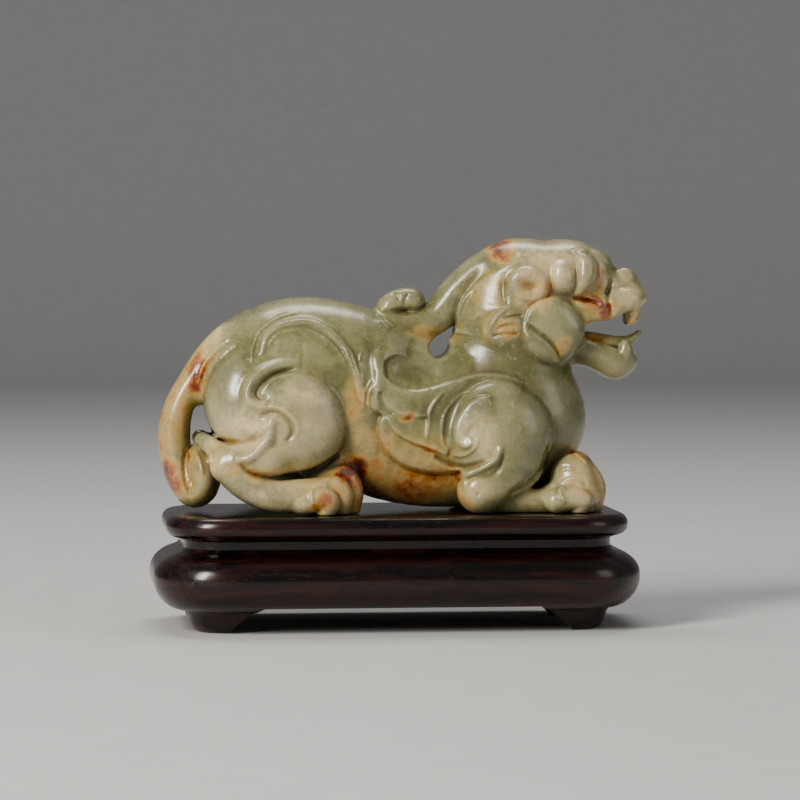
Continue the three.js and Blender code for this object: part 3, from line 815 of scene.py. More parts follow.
RUSSET_PATCHES = (
    Patch((-53, -1, 8), (6, 9, 8)),
    Patch((-55, -2, 17), (4, 6, 6), 0.7),
    Patch((-48.5, -2, 34), (4, 7, 6)),
    Patch((3, -14, 3), (20, 12, 10), 0.85),
    Patch((-3, -17, 10), (9, 8, 6), 0.8),
    Patch((-4, -18, 15), (5, 6, 8), 0.7),
    Patch((1, -20, 23.6), (4, 6, 1.6), 0.8),
    Patch((6, -20, 15.6), (7, 6, 1.6), 0.8),
    Patch((27, -2, 64), (5, 8, 4)),
    Patch((23, -4, 55), (3, 5, 4), 0.6),
    Patch((50, -8, 51), (7, 6, 2.4)),
    Patch((50.5, -7, 56.5), (3, 4, 4.5), 0.6),
    Patch((53, -8, 48.5), (2.4, 6, 3), 0.9),
    Patch((39, -11, 40.5), (3, 5, 4), 0.6),
    Patch((59.5, -3, 47), (3, 5, 2.5), 0.7),
    Patch((52, -12, 4), (3, 12, 6)),
    Patch((45, -12, 13), (4, 8, 2.5), 0.7),
    Patch((36.5, -12, 54), (2, 4, 6), 0.6),
    Patch((27, -10, 42.6), (4, 5, 1.6), 0.8),
    Patch((-19, -21, 3), (4, 6, 3), 0.7),
    Patch((-40, -15, 11), (7, 6, 3), 0.5),
    Patch((-31, -20, 11), (9, 6, 2.4), 0.5),
    Patch((-10, -15, 26), (3, 6, 9), 0.5),
    Patch((-57, -2, 26), (3, 6, 6), 0.6),
    Patch((-10, 17, 10), (12, 8, 8), 0.7),
    Patch((41, 9, 43), (7, 5, 6), 0.5),
)

RED_PATCHES = (
    Patch((-10.5, -11.5, 7), (5.5, 6.5, 8)),
    Patch((-14, -4, 6), (8, 8, 8), 0.8),
    Patch((52, -6, 44), (9, 5, 3.4), 0.7),
    Patch((26.5, -2, 65), (2.5, 5, 2), 0.8),
)


@dataclass(frozen=True)
class JadeFinish:
    """Waxy, polished celadon stone with ivory clouds, russet skin and fine dark seams."""

    celadon: Point = (0.265, 0.258, 0.122)
    deep_celadon: Point = (0.140, 0.140, 0.058)
    ivory: Point = (0.66, 0.54, 0.32)
    amber: Point = (0.50, 0.345, 0.115)
    orange: Point = (0.42, 0.160, 0.022)
    russet: Point = (0.235, 0.040, 0.004)
    red: Point = (0.085, 0.008, 0.002)
    # Colour of the fine dark seams and specks, also used as painted shade in the hollows
    seam_and_shade: Point = (0.10, 0.030, 0.006)
    # Pale colour of the painted sheen that lightens the ridges
    painted_sheen: Point = (0.85, 0.80, 0.62)
    roughness: float = 0.27
    waviness: float = 5.0
    bending_of_light: float = 1.6
    glow: float = 0.25
    glow_colours: Point = (1.0, 0.85, 0.5)
    glow_depth: float = 0.0014
    wax: float = 0.22
    wax_roughness: float = 0.12
    unevenness: float = 0.06
    unevenness_depth: float = 0.0004

    def patches(self, bench: Workbench, place: object, patches: Iterable[Patch]) -> Signal:
        """Add up patches of one kind.

        Args:
            bench: The material's workbench.
            place: Uneven place in millimetres.
            patches: The patches.

        Returns:
            How much of the kind there is, 0 to 1.
        """
        total = None
        for patch in patches:
            offset = bench.vector("SUBTRACT", place, patch.centre)
            offset = bench.vector("DIVIDE", offset, patch.reach)
            part = bench.ease(bench.length(offset), 0.25, 1.25, patch.strength, 0.0)
            total = part if total is None else total | part
        return total

    def material(self) -> bpy.types.Material:
        """Lay out the stone's nodes.

        Returns:
            The material.
        """
        bench = Workbench("polished_jade")
        place = bench.vector("SUBTRACT", bench.millimetres(), BEAST_SHIFT)
        uneven = bench.wander(place, 0.11, 3.0, (self.waviness * 2,) * 3)
        cloud = bench.noise(uneven, 0.07, 4.0, 0.6)
        fleck = bench.noise(place, 0.9, 4.0, 0.65)
        grain = bench.noise(place, 3.2, 2.0)

        pale = self.patches(bench, uneven, PALE_PATCHES)
        ochre = self.patches(bench, uneven, OCHRE_PATCHES)
        russet = self.patches(bench, uneven, RUSSET_PATCHES)
        red = self.patches(bench, uneven, RED_PATCHES)
        hollow = bench.attribute("hollow")

        # Green stone with milky clouds and flecks
        green = bench.mix(bench.ease(cloud, 0.35, 0.65), self.deep_celadon, self.celadon)
        milk = bench.ease(bench.noise(uneven, 0.13, 3.0, 0.6), 0.36, 0.56, 0.45, 1.0)
        pale = pale * bench.ease(fleck, 0.25, 0.6, 0.7, 1.0) * milk
        colour = bench.mix(pale, green, self.ivory)
        mottle = bench.ease(fleck, 0.57, 0.72) * 0.35
        colour = bench.mix(mottle, colour, self.ivory)

        # Staining in one measure, from amber through orange and russet to red, more in hollows
        breaks = bench.ease(bench.noise(place, 0.26, 6.0, 0.75), 0.3, 0.66, 0.5, 1.22)
        stain = (ochre * 0.5 | russet * 0.88 | red * 1.1) * breaks
        settled = bench.ease(hollow, 0.2, 1.0, 0.0, 0.3)
        stain = stain + settled * (pale | bench.ease(stain, 0.05, 0.3))
        colour = bench.mix(bench.ease(stain, 0.0, 0.42, 0.0, 0.85), colour, self.amber)
        for low, high, tone in (
            (0.3, 0.62, self.orange),
            (0.56, 0.8, self.russet),
            (0.78, 1.0, self.red),
        ):
            colour = bench.mix(bench.ease(stain, low, high), colour, tone)

        # Fine seams and specks, painted shade that darkens the hollows and a painted sheen that
        # lightens the ridges
        seams = 1 - bench.ease((bench.noise(uneven, 0.10, 5.0, 0.6) - 0.5).size(), 0.0, 0.012)
        specks = bench.ease(bench.noise(place, 0.55, 6.0, 0.75), 0.66, 0.74) * 0.5
        colour = bench.mix(specks | (seams * 0.3), colour, self.seam_and_shade)
        # Painted shade: the hollows are darkened towards the seam colour
        colour = bench.mix(bench.ease(hollow, 0.2, 1.0, 0.0, 0.45), colour, self.seam_and_shade)
        # Painted sheen: the ridges are lightened towards a pale colour
        colour = bench.mix(bench.ease(hollow, -0.6, 0.0, 0.10, 0.0), colour, self.painted_sheen)

        rough = self.roughness + bench.ease(fleck, 0.3, 0.7, -0.05, 0.07)
        rough = rough + bench.ease(hollow, 0.0, 0.7, 0.0, 0.16)
        height = fleck * 0.5 + grain * 0.2
        return bench.finish(
            {
                "Base Color": colour,
                "Roughness": rough,
                "IOR": self.bending_of_light,
                "Subsurface Weight": self.glow,
                "Subsurface Radius": self.glow_colours,
                "Subsurface Scale": self.glow_depth,
                "Coat Weight": self.wax,
                "Coat Roughness": self.wax_roughness,
                "Normal": bench.bump(height, self.unevenness, self.unevenness_depth),
            }
        )


@dataclass(frozen=True)
class HardwoodFinish:
    """Very dark, polished red-brown hardwood with long grain and fine open pores."""

    dark: Point = (0.0040, 0.0016, 0.0014)
    light: Point = (0.036, 0.0076, 0.0046)
    pore: Point = (0.004, 0.002, 0.002)
    roughness: float = 0.27
    gloss: float = 0.35
    polish: float = 0.65
    polish_roughness: float = 0.2
    openness: float = 0.35
    pore_depth: float = 0.0003

    def material(self) -> bpy.types.Material:
        """Lay out the wood's nodes.

        Returns:
            The material.
        """
        bench = Workbench("polished_hardwood")
        bent = bench.wander(bench.millimetres(), 0.035, 2.0, (0.0, 9.0, 9.0))
        long_grain = bench.vector("MULTIPLY", bent, (0.035, 1.0, 1.0))
        figure = bench.noise(long_grain, 0.45, 5.0, 0.6)
        fibre = bench.noise(long_grain, 2.6, 3.0, 0.6)
        pores = bench.noise(bench.vector("MULTIPLY", bent, (0.16, 1.0, 1.0)), 2.4, 2.0, 0.5)
        pore = bench.ease(pores, 0.60, 0.70)
        colour = bench.mix(bench.ease(figure, 0.38, 0.66), self.dark, self.light)
        colour = bench.mix(bench.ease(fibre, 0.4, 0.75, 0.0, 0.5), colour, self.dark)
        colour = bench.mix(pore * 0.8, colour, self.pore)
        rough = self.roughness + bench.ease(figure, 0.3, 0.7, -0.05, 0.06) + pore * 0.2
        height = 1 - pore * 0.8 - fibre * 0.25
        return bench.finish(
            {
                "Base Color": colour,
                "Roughness": rough,
                "Specular IOR Level": self.gloss,
                "Coat Weight": self.polish,
                "Coat Roughness": self.polish_roughness,
                "Normal": bench.bump(height, self.openness, self.pore_depth),
            }
        )


@dataclass(frozen=True)
class StudioFinish:
    """Plain, pale matt paper for the floor and what stands behind it."""

    tone: Point = (0.62, 0.615, 0.60)
    shade: float = 0.97
    roughness: float = 0.8
    gloss: float = 0.2

    def material(self) -> bpy.types.Material:
        """Lay out the paper's nodes.

        Returns:
            The material.
        """
        bench = Workbench("studio_paper")
        fibre = bench.noise(bench.place, 90.0, 3.0)
        low = tuple(value * self.shade for value in self.tone)
        colour = bench.mix(bench.ease(fibre, 0.3, 0.7), low, self.tone)
        return bench.finish(
            {"Base Color": colour, "Roughness": self.roughness, "Specular IOR Level": self.gloss}
        )


# The beast


@dataclass
class Beast:
    """The lying beast, one piece of stone from the curled tail to the open jaws.

    All is in millimetres, x towards the nose, y to the beast's left and z up from the stand's top.
    A side of -1 is the near one, which the photograph shows, and 1 is the far one.
    """

    step: float = 0.33
    most_triangles: int = 192_000
    viewpoint: Point = (-92.3, -895.0, 64.6)
    block_low: Point = (-60.0, -25.5, -0.72)
    block_high: Point = (65.0, 25.5, 68.5)
    flank_bare: float = 4.0
    flank_full: float = 9.0
    ridge_bare: float = 0.6
    ridge_full: float = 3.0
    hollow_reach: int = 9
    hollow_softening: int = 2
    hollow_gain: float = 4.0

    def trunk(self, clay: Clay) -> None:
        """Shape rump, back, belly and chest.

        Args:
            clay: The clay to work on.
        """
        rows = (
            (-31.5, 0, 31, 13, 0.95),
            (-25, 0, 31, 20.6, 0.82),
            (-13, 0, 29.8, 20.8, 0.8),
            (1, 0, 23.2, 21.2, 0.8),
            (15, 0, 19.5, 18.9, 0.84),
            (27, 0, 21, 17, 0.86),
            (33, 0, 21.5, 13.8, 0.86),
        )
        clay.add(Limb(rows), 0)
        clay.add(Ball((34.5, 0, 22), (12.5, 13.5, 14)), 3)

    def neck_and_skull(self, clay: Clay) -> None:
        """Raise the neck and set skull, muzzle and lower jaw on it.

        Args:
            clay: The clay to work on.
        """
        neck = (
            (28, 0, 27, 16, 0.8),
            (28.5, 0, 38, 14, 0.8),
            (29.5, 0, 48, 13, 0.85),
            (31, 0, 55, 10.5, 0.95),
        )
        skull = (
            (31, 0, 57, 8.6, 1.1),
            (38, 0, 57, 9, 1.15),
            (44, 0, 56.8, 9.2, 1.05),
            (48.5, 0, 55.5, 7.4, 1.1),
        )
        muzzle = ((46, 0, 51.5, 6, 1.25), (52, 0, 52.2, 5.8, 1.15), (57.5, 0, 52.8, 4.7, 1.15))
        jaw = (
            (40, 0, 42, 7, 1),
            (45, 0, 41, 5.4, 1.2),
            (50, 0, 38.4, 4.3, 1.35),
            (55, 0, 36.3, 4.3, 1.35),
            (57, 0, 36.4, 3.7, 1.3),
        )
        clay.add(Limb(neck), 5)
        for rows in (skull, muzzle, jaw):
            clay.add(Limb(rows), 3)

    def mane_lock(self, clay: Clay) -> None:
        """Lay the lock of mane down to the back, where it ends in a curl.

        Args:
            clay: The clay to work on.
        """
        rows = (
            (33, 0, 61, 4.6, 1.3),
            (28, 0, 61, 4.6, 1.2),
            (22, 0, 58.4, 4.4, 1.1),
            (16, 0, 53.2, 4.3, 1.1),
            (11, 0, 47.4, 4.2, 1.15),
            (5, 0, 44.9, 4.1, 1.2),
            (0, 0, 46, 3.6, 1.2),
            (-1, 0, 49.2, 3.1, 1.2),
            (1.6, 0, 51.3, 2.8, 1.2),
            (5, 0, 51.2, 2.9, 1.2),
            (5.2, 0, 49.2, 2, 1.2),
        )
        clay.add(Limb(rows), 1.6)

    def tail(self, clay: Clay) -> None:
        """Drop the tail behind the haunch and curl its tip back up.

        Args:
            clay: The clay to work on.
        """
        rows = (
            (-35, 0, 42.5, 6, 1.3),
            (-40, 0, 41, 4.8, 1.2),
            (-45, 0, 37, 3.9, 1.2),
            (-49.3, 0, 31, 3.6, 1.2),
            (-52.2, 0, 25.8, 3.6, 1.2),
            (-53.5, 0, 20, 3.9, 1.1),
            (-53.3, 0, 15, 3.9, 1.2),
            (-52, 0, 9.2, 3.9, 1.4),
            (-49.2, 0, 4.7, 3.8, 1.7),
            (-46.8, 0, 6.2, 4.2, 1.9),
            (-46.8, 0, 10.5, 4.2, 1.8),
            (-47.6, 0, 13.6, 3.1, 1.6),
        )
        clay.add(Limb(rows), 1.6)
        clay.add(Limb(((-43, 0, 33, 4, 1.6), (-47, 0, 28.4, 2.6, 1.5))), 2)

    def toes(self, clay: Clay, side: int, rows: Iterable[Point], knuckle: float) -> None:
        """Add the toes of one paw.

        Args:
            clay: The clay to work on.
            side: -1 for the near side, 1 for the far side.
            rows: Distance from the middle, front, top and radius of each toe.
            knuckle: How far the knuckle lies behind the toe's end.
        """
        for y, front, top, radius in rows:
            toe = (
                (front - 9, side * (y - 0.6), top - radius - 0.6, radius),
                (front - radius - knuckle, side * y, top - radius, radius),
                (front - radius, side * y, top * 0.45, radius * 0.95),
                (front - radius - 0.3, side * y, 1.2, radius * 0.8),
            )
            clay.add(Limb(toe), 0.7)

    def hind_leg(self, clay: Clay, side: int) -> None:
        """Fold one hind leg: haunch, hock, foot and toes.

        Args:
            clay: The clay to work on.
            side: -1 for the near side, 1 for the far side.
        """
        s = side
        clay.add(Ball((-26, 13.2 * s, 22.6), (13.8, 8.8, 13.4)), 1.2)
        clay.add(Ball((-35.6, 9 * s, 27), (10.8, 9.5, 12.6)), 3)
        shin = ((-32, 15.5 * s, 13.5, 6), (-37, 15.5 * s, 13, 5.2), (-41.2, 15 * s, 12.2, 4.4))
        clay.add(Limb(shin), 1.5)
        heel = ((-41.5, 13.5 * s, 14.5, 3), (-45.4, 9.5 * s, 16.6, 2.2), (-47, 6.5 * s, 17.5, 2))
        clay.add(Limb(heel), 1)
        foot = (
            (-41.4, 15 * s, 11.5, 4),
            (-37, 16.5 * s, 7.8, 4.3),
            (-32, 17 * s, 5.4, 4.3),
            (-25, 17 * s, 4.6, 4.2),
            (-19, 16 * s, 4.6, 4.2),
        )
        clay.add(Limb(foot), 1)
        clay.add(Ball((-16, 8 * s, 10), (7, 5, 4.5)), 2)
        rows = (
            (19.2, -14.6, 6.7, 3),
            (15.9, -10.9, 9.3, 3),
            (12.6, -8.2, 11.5, 3.1),
            (9.2, -9.2, 10.5, 2.9),
        )
        self.toes(clay, side, rows, 1.6)

    def fore_leg(self, clay: Clay, side: int) -> None:
        """Fold one fore leg: shoulder, elbow, forearm, paw and toes.

        Args:
            clay: The clay to work on.
            side: -1 for the near side, 1 for the far side.
        """
        s = side
        clay.add(Ball((24.4, 12.6 * s, 18.4), (13.4, 8.9, 13.4)), 1.2)
        upper_arm = ((28, 12.8 * s, 12, 7.5), (24, 14 * s, 8, 6.6), (19.8, 15.3 * s, 5.8, 6.1))
        clay.add(Limb(upper_arm), 1.5)
        forearm = (
            (21, 14.5 * s, 4, 4.2),
            (29, 13.6 * s, 2.8, 3.3),
            (35, 13.4 * s, 2.6, 3.2),
            (39, 13.2 * s, 3.8, 4),
            (43.4, 13 * s, 6, 5.2),
        )
        clay.add(Limb(forearm), 0.8)
        clay.add(Ball((42.8, 11.5 * s, 7.6), (5.6, 6, 6.4)), 1)
        rows = (
            (17.6, 47.1, 6.4, 3),
            (14.5, 49, 9.2, 3),
            (11.1, 51.3, 12.4, 3.2),
            (7.5, 50.6, 14, 3),
        )
        self.toes(clay, side, rows, 2.4)

    def cheek(self, clay: Clay, side: int) -> None:
        """Add one jowl with its roll and flap, the tuft behind it and the ear.

        Args:
            clay: The clay to work on.
            side: -1 for the near side, 1 for the far side.
        """
        s = side
        clay.add(Ball((38, 8.4 * s, 45.8), (6.9, 4.4, 6.8)), 1.6)
        clay.add(Ball((40.4, 7.9 * s, 41.8), (4.3, 3.6, 5.2)), 2.5)
        clay.add(Ball((43.6, 7.4 * s, 44.2), (2.8, 3, 3.6)), 2.5)
        clay.add(Ball((34.9, 8.7 * s, 40.4), (6.3, 4.2, 3.7), 39), 0.5)
        clay.add(Ball((26.2, 9 * s, 44.2), (5.4, 3.6, 5.2), 30), 1)
        clay.add(Ball((32.3, 9.8 * s, 55), (5.2, 3, 4.4), 8), 0.7)
        clay.cut(Ball((31.7, 13.5 * s, 54.7), (3.7, 2.6, 2.9)), 1.4)

    def brow_and_eye(self, clay: Clay, side: int) -> None:
        """Add one temple, brow and eye.

        Args:
            clay: The clay to work on.
            side: -1 for the near side, 1 for the far side.
        """
        s = side
        clay.add(Ball((40.7, 9.2 * s, 56.9), (3.2, 3, 4.1), -12), 0.7)
        behind_brow = (
            (43.2, 10.9 * s, 52.2, 0.4),
            (43.9, 11.6 * s, 54.6, 0.6),
            (44.2, 11.9 * s, 57.6, 0.5),
        )
        clay.cut(Limb(behind_brow), 0.5)
        clay.add(Ball((49.4, 3 * s, 59.9), (4.4, 4, 3.8)), 1)
        brow = (
            (44.1, 9 * s, 52.5, 0.7),
            (45.3, 9.6 * s, 54.6, 1.5),
            (46.2, 9.7 * s, 57.1, 2.1),
            (46.4, 8.9 * s, 60, 2.3),
            (45.6, 7.4 * s, 62.3, 2),
        )
        clay.add(Limb(brow), 0.6)
        socket = (
            (45.2, 10.2 * s, 51.7, 0.5),
            (47.6, 10 * s, 53.8, 1),
            (49.2, 9.3 * s, 57.4, 1.2),
            (49.4, 8 * s, 61, 0.9),
            (51, 7.4 * s, 52.4, 0.8),
            (53.4, 6.6 * s, 56, 0.8),
        )
        clay.cut(Limb(socket[:4]), 0.4)
        clay.cut(Limb((socket[0], socket[4], socket[5])), 0.4)
        clay.add(Ball((49.9, 5.2 * s, 56.2), (2.6, 2.6, 3.7)), 0.35)

    def muzzle_side(self, clay: Clay, side: int) -> None:
        """Add one side of the muzzle: gum folds, lip and nostril wing.

        Args:
            clay: The clay to work on.
            side: -1 for the near side, 1 for the far side.
        """
        s = side
        gum = ((45.4, 8.2 * s, 50.2, 1.2), (49, 8 * s, 50.2, 1.6), (52.2, 7 * s, 50.6, 1.6))
        clay.add(Limb(gum), 2.2)
        lip = ((47, 7.2 * s, 47.4, 1.3), (51.5, 7 * s, 47.8, 1.5), (54, 6.2 * s, 48.6, 1.8))
        clay.add(Limb(lip), 2.2)
        front = ((54.9, 4.8 * s, 50.9, 3.4), (58, 4.3 * s, 51.5, 3.1), (60.4, 2.4 * s, 52, 2.3))
        clay.add(Limb(front), 0.8)
        clay.add(Ball((57, 2.8 * s, 56.8), (2.7, 2.3, 2.5)), 0.6)

    def mouth(self, clay: Clay) -> None:
        """Open the jaws and lay the tongue and the canine teeth in them.

        Args:
            clay: The clay to work on.
        """
        clay.add(Ball((58.4, 0, 56), (2.4, 3.4, 2.5)), 1)
        clay.add(Ball((54.5, 0, 35.8), (4, 4.9, 3.9)), 1)
        opening = (
            (48, 0, 43.4, 2, 5),
            (52, 0, 43.3, 2.6, 5),
            (56, 0, 44.2, 3.5, 4),
            (60, 0, 44.6, 4.4, 4),
            (66, 0, 45.2, 5, 4),
        )
        clay.cut(Limb(opening), 0.8)
        trough = (
            (50, 0, 42.5, 1.9, 1.8),
            (54, 0, 40.6, 2.4, 1.6),
            (58, 0, 40.2, 2.8, 1.5),
            (60, 0, 40.2, 2.8, 1.5),
        )
        clay.cut(Limb(trough), 0.8)
        tongue = (
            (48, 0, 41.2, 2.4, 1.7),
            (52, 0, 40.8, 2.2, 1.6),
            (56, 0, 40.6, 1.8, 1.5),
            (59.2, 0, 41.6, 1.2, 1.5),
            (61, 0, 43.1, 0.8, 1.5),
        )
        clay.add(Limb(tongue), 0.8)
        for s in (-1, 1):
            upper = ((58.8, 3.7 * s, 50, 2.3), (59.2, 3.7 * s, 47.6, 1.7), (58.6, 3.7 * s, 46, 1))
            lower = (
                (57, 3.6 * s, 37.5, 2.1),
                (57.1, 3.8 * s, 39.4, 1.7),
                (56.9, 3.8 * s, 40.8, 0.9),
            )
            for tooth in (upper, lower):
                clay.add(Limb(tooth), 0.5)

    def strand_hole(self, clay: Clay) -> None:
        """Pierce the gap under the lock of mane.

        Args:
            clay: The clay to work on.
        """
        path = ((10.2, -14, 39.6, 2.2), (10.4, 0, 39.4, 2.2), (10.7, 14, 39.6, 2.2))
        clay.cut(Limb(path), 0.8)
        clay.cut(Limb(tuple((x + 1.3, y, z + 0.7, r) for x, y, z, r in path)), 0.8)

    def haunch_lines(self) -> tuple[CarvedLine, ...]:
        """Give the band, the hooked curl and the tendon of the haunch."""
        band = (
            (-32.2, 38), (-31.2, 42.4), (-27.5, 45.2), (-23, 46.1), (-19.5, 45.8), (-15, 43.4),
            (-11.2, 39), (-9.2, 34.5), (-7.9, 30), (-7.4, 25.5),
        )
        outer_band = ((-34.6, 36), (-34.4, 40), (-32.4, 44), (-28.4, 47), (-24, 48.4))
        inner_band = (
            (-31, 39), (-29.4, 42), (-26, 43.9), (-20.5, 44), (-16.2, 41.8), (-12.4, 37.6),
            (-10.4, 33),
        )
        hook = (
            (-22.5, 36.3), (-27, 35.9), (-31, 34.6), (-34.3, 32), (-35.8, 29), (-35.2, 26.8),
            (-33, 25.7), (-31, 26.2),
        )
        hook_groove = (
            (-24, 34.4), (-28.5, 33.4), (-31.8, 31), (-33.3, 28.8), (-32.3, 27.3), (-30.8, 27.9),
        )
        hook_ridge = ((-25, 33.2), (-29, 32.2), (-31.4, 30))
        tendon = (
            (-29, 22.4), (-30.1, 21), (-30.5, 17.9), (-32.5, 15.5), (-35.2, 12.9), (-39, 12.4),
        )
        spiral = (
            (-32.7, 23), (-30, 23.8), (-28.1, 23.6), (-25.6, 21.8), (-24.6, 19), (-26.2, 16.8),
        )
        spiral_ridge = ((-33, 24.6), (-29.5, 25.3), (-26, 24.1), (-23.6, 21.4), (-23, 18.4))
        knee_crease = ((-43.8, 17.5), (-39.2, 16.7), (-35.2, 17.1), (-32.8, 18.9))
        foot_crease = (
            (-37.4, 11.4), (-35.8, 9.6), (-33, 8.4), (-28.6, 7.9), (-22.5, 8.7), (-17.2, 10.8),
            (-13, 13.8),
        )
        return (
            CarvedLine(Stroke.GROOVE, 1.3, 1.2, foot_crease, taper=0.35),
            CarvedLine(Stroke.RIDGE, 0.95, 1.35, band, taper=0.12),
            CarvedLine(Stroke.GROOVE, 0.3, 0.5, band, taper=0.1),
            CarvedLine(Stroke.RIDGE, 0.5, 0.7, outer_band),
            CarvedLine(Stroke.RIDGE, 0.35, 0.6, inner_band),
            CarvedLine(Stroke.RIDGE, 1.3, 2.0, hook),
            CarvedLine(Stroke.GROOVE, 0.8, 0.9, hook_groove),
            CarvedLine(Stroke.RIDGE, 0.4, 0.6, hook_ridge),
            CarvedLine(Stroke.RIDGE, 1.2, 2.1, tendon),
            CarvedLine(Stroke.GROOVE, 0.9, 1.1, spiral),
            CarvedLine(Stroke.RIDGE, 0.35, 0.8, spiral_ridge),
            CarvedLine(Stroke.GROOVE, 0.55, 0.9, knee_crease),
        )

    def flank_lines(self) -> tuple[CarvedLine, ...]:
        """Give the hair lines and the fold between haunch and wing."""
        hairs = (
            ((-12, 40.4), (-10.4, 36), (-9.4, 33), (-8.8, 30), (-8.3, 26.8)),
            ((-10.6, 40.2), (-9.2, 36), (-8.3, 32.6), (-7.9, 29.5)),
            ((-7.2, 40), (-8, 37), (-7.8, 34), (-7, 30.4)),
            ((-6, 39.7), (-7, 37), (-7.3, 34), (-6.7, 30.4)),
            ((-5, 32), (-6.5, 29.5), (-7.1, 27.3), (-7, 24.5)),
            ((-4.4, 31), (-5.7, 28.5), (-6, 26), (-5.3, 22.6)),
            ((-3.8, 29.2), (-4.2, 26.9)),
        )
        fold = ((-3.6, 39.5), (-3.9, 36.5), (-3.4, 33), (-3.6, 29.5), (-3.9, 26.5), (-4.6, 23.5))
        return tuple(CarvedLine(Stroke.RIDGE, 0.42, 0.55, hair) for hair in hairs) + (
            CarvedLine(Stroke.RIDGE, 0.8, 2.0, fold),
        )

    def wing_lines(self) -> tuple[CarvedLine, ...]:
        """Give the wing that folds back from the shoulder, feather by feather."""
        scoop_edge = (
            (33, 31), (29, 32.8), (24.5, 33.4), (20, 32.9), (14, 31), (10, 29.7), (6, 29),
            (3, 29.4), (0.2, 30.8), (-1.5, 32.4), (-2, 34.5), (-1.6, 36.6), (0.4, 37.8),
            (2.4, 37.9), (3.4, 37.6),
        )
        feather_edge = (
            (9, 22.6), (6, 22.4), (3, 22.7), (1, 23.5), (-1, 24.8), (-2.2, 26.4), (-2.5, 29),
        )
        quill = ((12.7, 29), (11, 27), (9.7, 25), (9, 23), (8.8, 20.4), (8.5, 17.3))
        low_feather = (
            (17, 9.3), (13, 8.7), (9, 8.8), (5, 9.8), (2, 11), (-1, 13.5), (-2.5, 16), (-3.3, 19),
            (-3.4, 21.4), (-2.4, 23.2),
        )
        low_hollow = ((-1.6, 22.6), (-0.8, 21), (0.7, 18.8), (3.7, 16.8), (8.8, 14.8), (13.5, 12.9))
        return (
            CarvedLine(Stroke.LIP, 1.15, 0.45, scoop_edge, 3.2, 0.42),
            CarvedLine(Stroke.GROOVE, 0.6, 3.6, ((0.6, 35), (5, 32.8), (11, 33.6)), taper=0.4),
            CarvedLine(Stroke.LIP, -0.75, 0.45, feather_edge, 3.0, 0.12),
            CarvedLine(Stroke.RIDGE, 0.55, 0.65, quill, taper=0.12),
            CarvedLine(Stroke.LIP, -1.5, 0.6, low_feather, 4.0, 0.1),
            CarvedLine(Stroke.LIP, 1.1, 0.5, low_hollow, 3.0, 0.15),
        )

    def shoulder_lines(self) -> tuple[CarvedLine, ...]:
        """Give the spiral on the shoulder and the folds of elbow and paws."""
        outer = (
            (18.6, 28.8), (16.9, 28), (15, 26.4), (13, 23.5), (12.2, 20), (12.4, 16.6),
            (13.6, 14.4),
        )
        disc = (
            (24.5, 27.6), (21, 27.2), (18, 25.2), (15.9, 22), (15.2, 19), (15.6, 16.6),
            (17, 15), (19, 15), (20.6, 16.6),
        )
        tail_end = ((14.6, 13.4), (17, 13), (19.2, 13.9), (20.6, 15.5), (21, 17.2))
        under = ((10.4, 13), (13, 11.5), (16, 10.4), (19.4, 10.4), (23, 11.6))
        elbow = ((16, 7.8), (20, 9.2), (23, 10.2), (25.2, 11.6), (26.3, 13.5), (26.9, 15.4))
        elbow_groove = (
            (18, 5.4), (19, 7.1), (21.4, 7.7), (24, 7.9), (25.8, 9.2), (26.8, 11.4), (27.3, 13.4),
        )
        arm_front = (
            (28, 1.6), (29.6, 3.9), (33, 5.8), (36, 8.8), (37.6, 11.6), (38.6, 15.4), (39, 20),
        )
        front_hairs = (
            ((45, 14.6), (46.8, 13.6), (48.8, 12)),
            ((44.8, 13.8), (46.6, 12.8), (48.4, 11)),
            ((41.4, 10.4), (43, 10.9), (44.6, 10.4)),
            ((41.6, 9), (43.2, 9.8), (44.8, 9.2)),
            ((41.2, 5.6), (43.4, 7), (45.6, 7.3)),
            ((41.2, 4.6), (43.2, 5.8), (45.2, 6.3)),
            ((41.2, 5), (42, 2.8), (42.8, 1)),
        )
        hind_hairs = (
            ((-19.9, 5.3), (-20, 3.2), (-19.6, 0.8)),
            ((-19.8, 5.4), (-18, 6), (-15.8, 6.2)),
            ((-18.6, 6.3), (-17, 7.3), (-15.2, 7.8)),
        )
        return (
            CarvedLine(Stroke.RIDGE, 0.45, 0.6, outer, taper=0.3),
            CarvedLine(Stroke.LIP, 1.1, 0.5, disc, 3.5, 0.25),
            CarvedLine(Stroke.RIDGE, 0.6, 0.8, tail_end),
            CarvedLine(Stroke.GROOVE, 1.0, 1.1, under),
            CarvedLine(Stroke.RIDGE, 1.0, 1.4, elbow),
            CarvedLine(Stroke.GROOVE, 0.6, 0.8, elbow_groove),
            CarvedLine(Stroke.GROOVE, 0.5, 0.5, ((20.8, 3.7), (21.4, 3.3)), taper=0.01),
            CarvedLine(Stroke.GROOVE, 0.6, 1.0, arm_front, taper=0.35),
            *(CarvedLine(Stroke.RIDGE, 0.5, 0.6, hair) for hair in front_hairs + hind_hairs),
        )

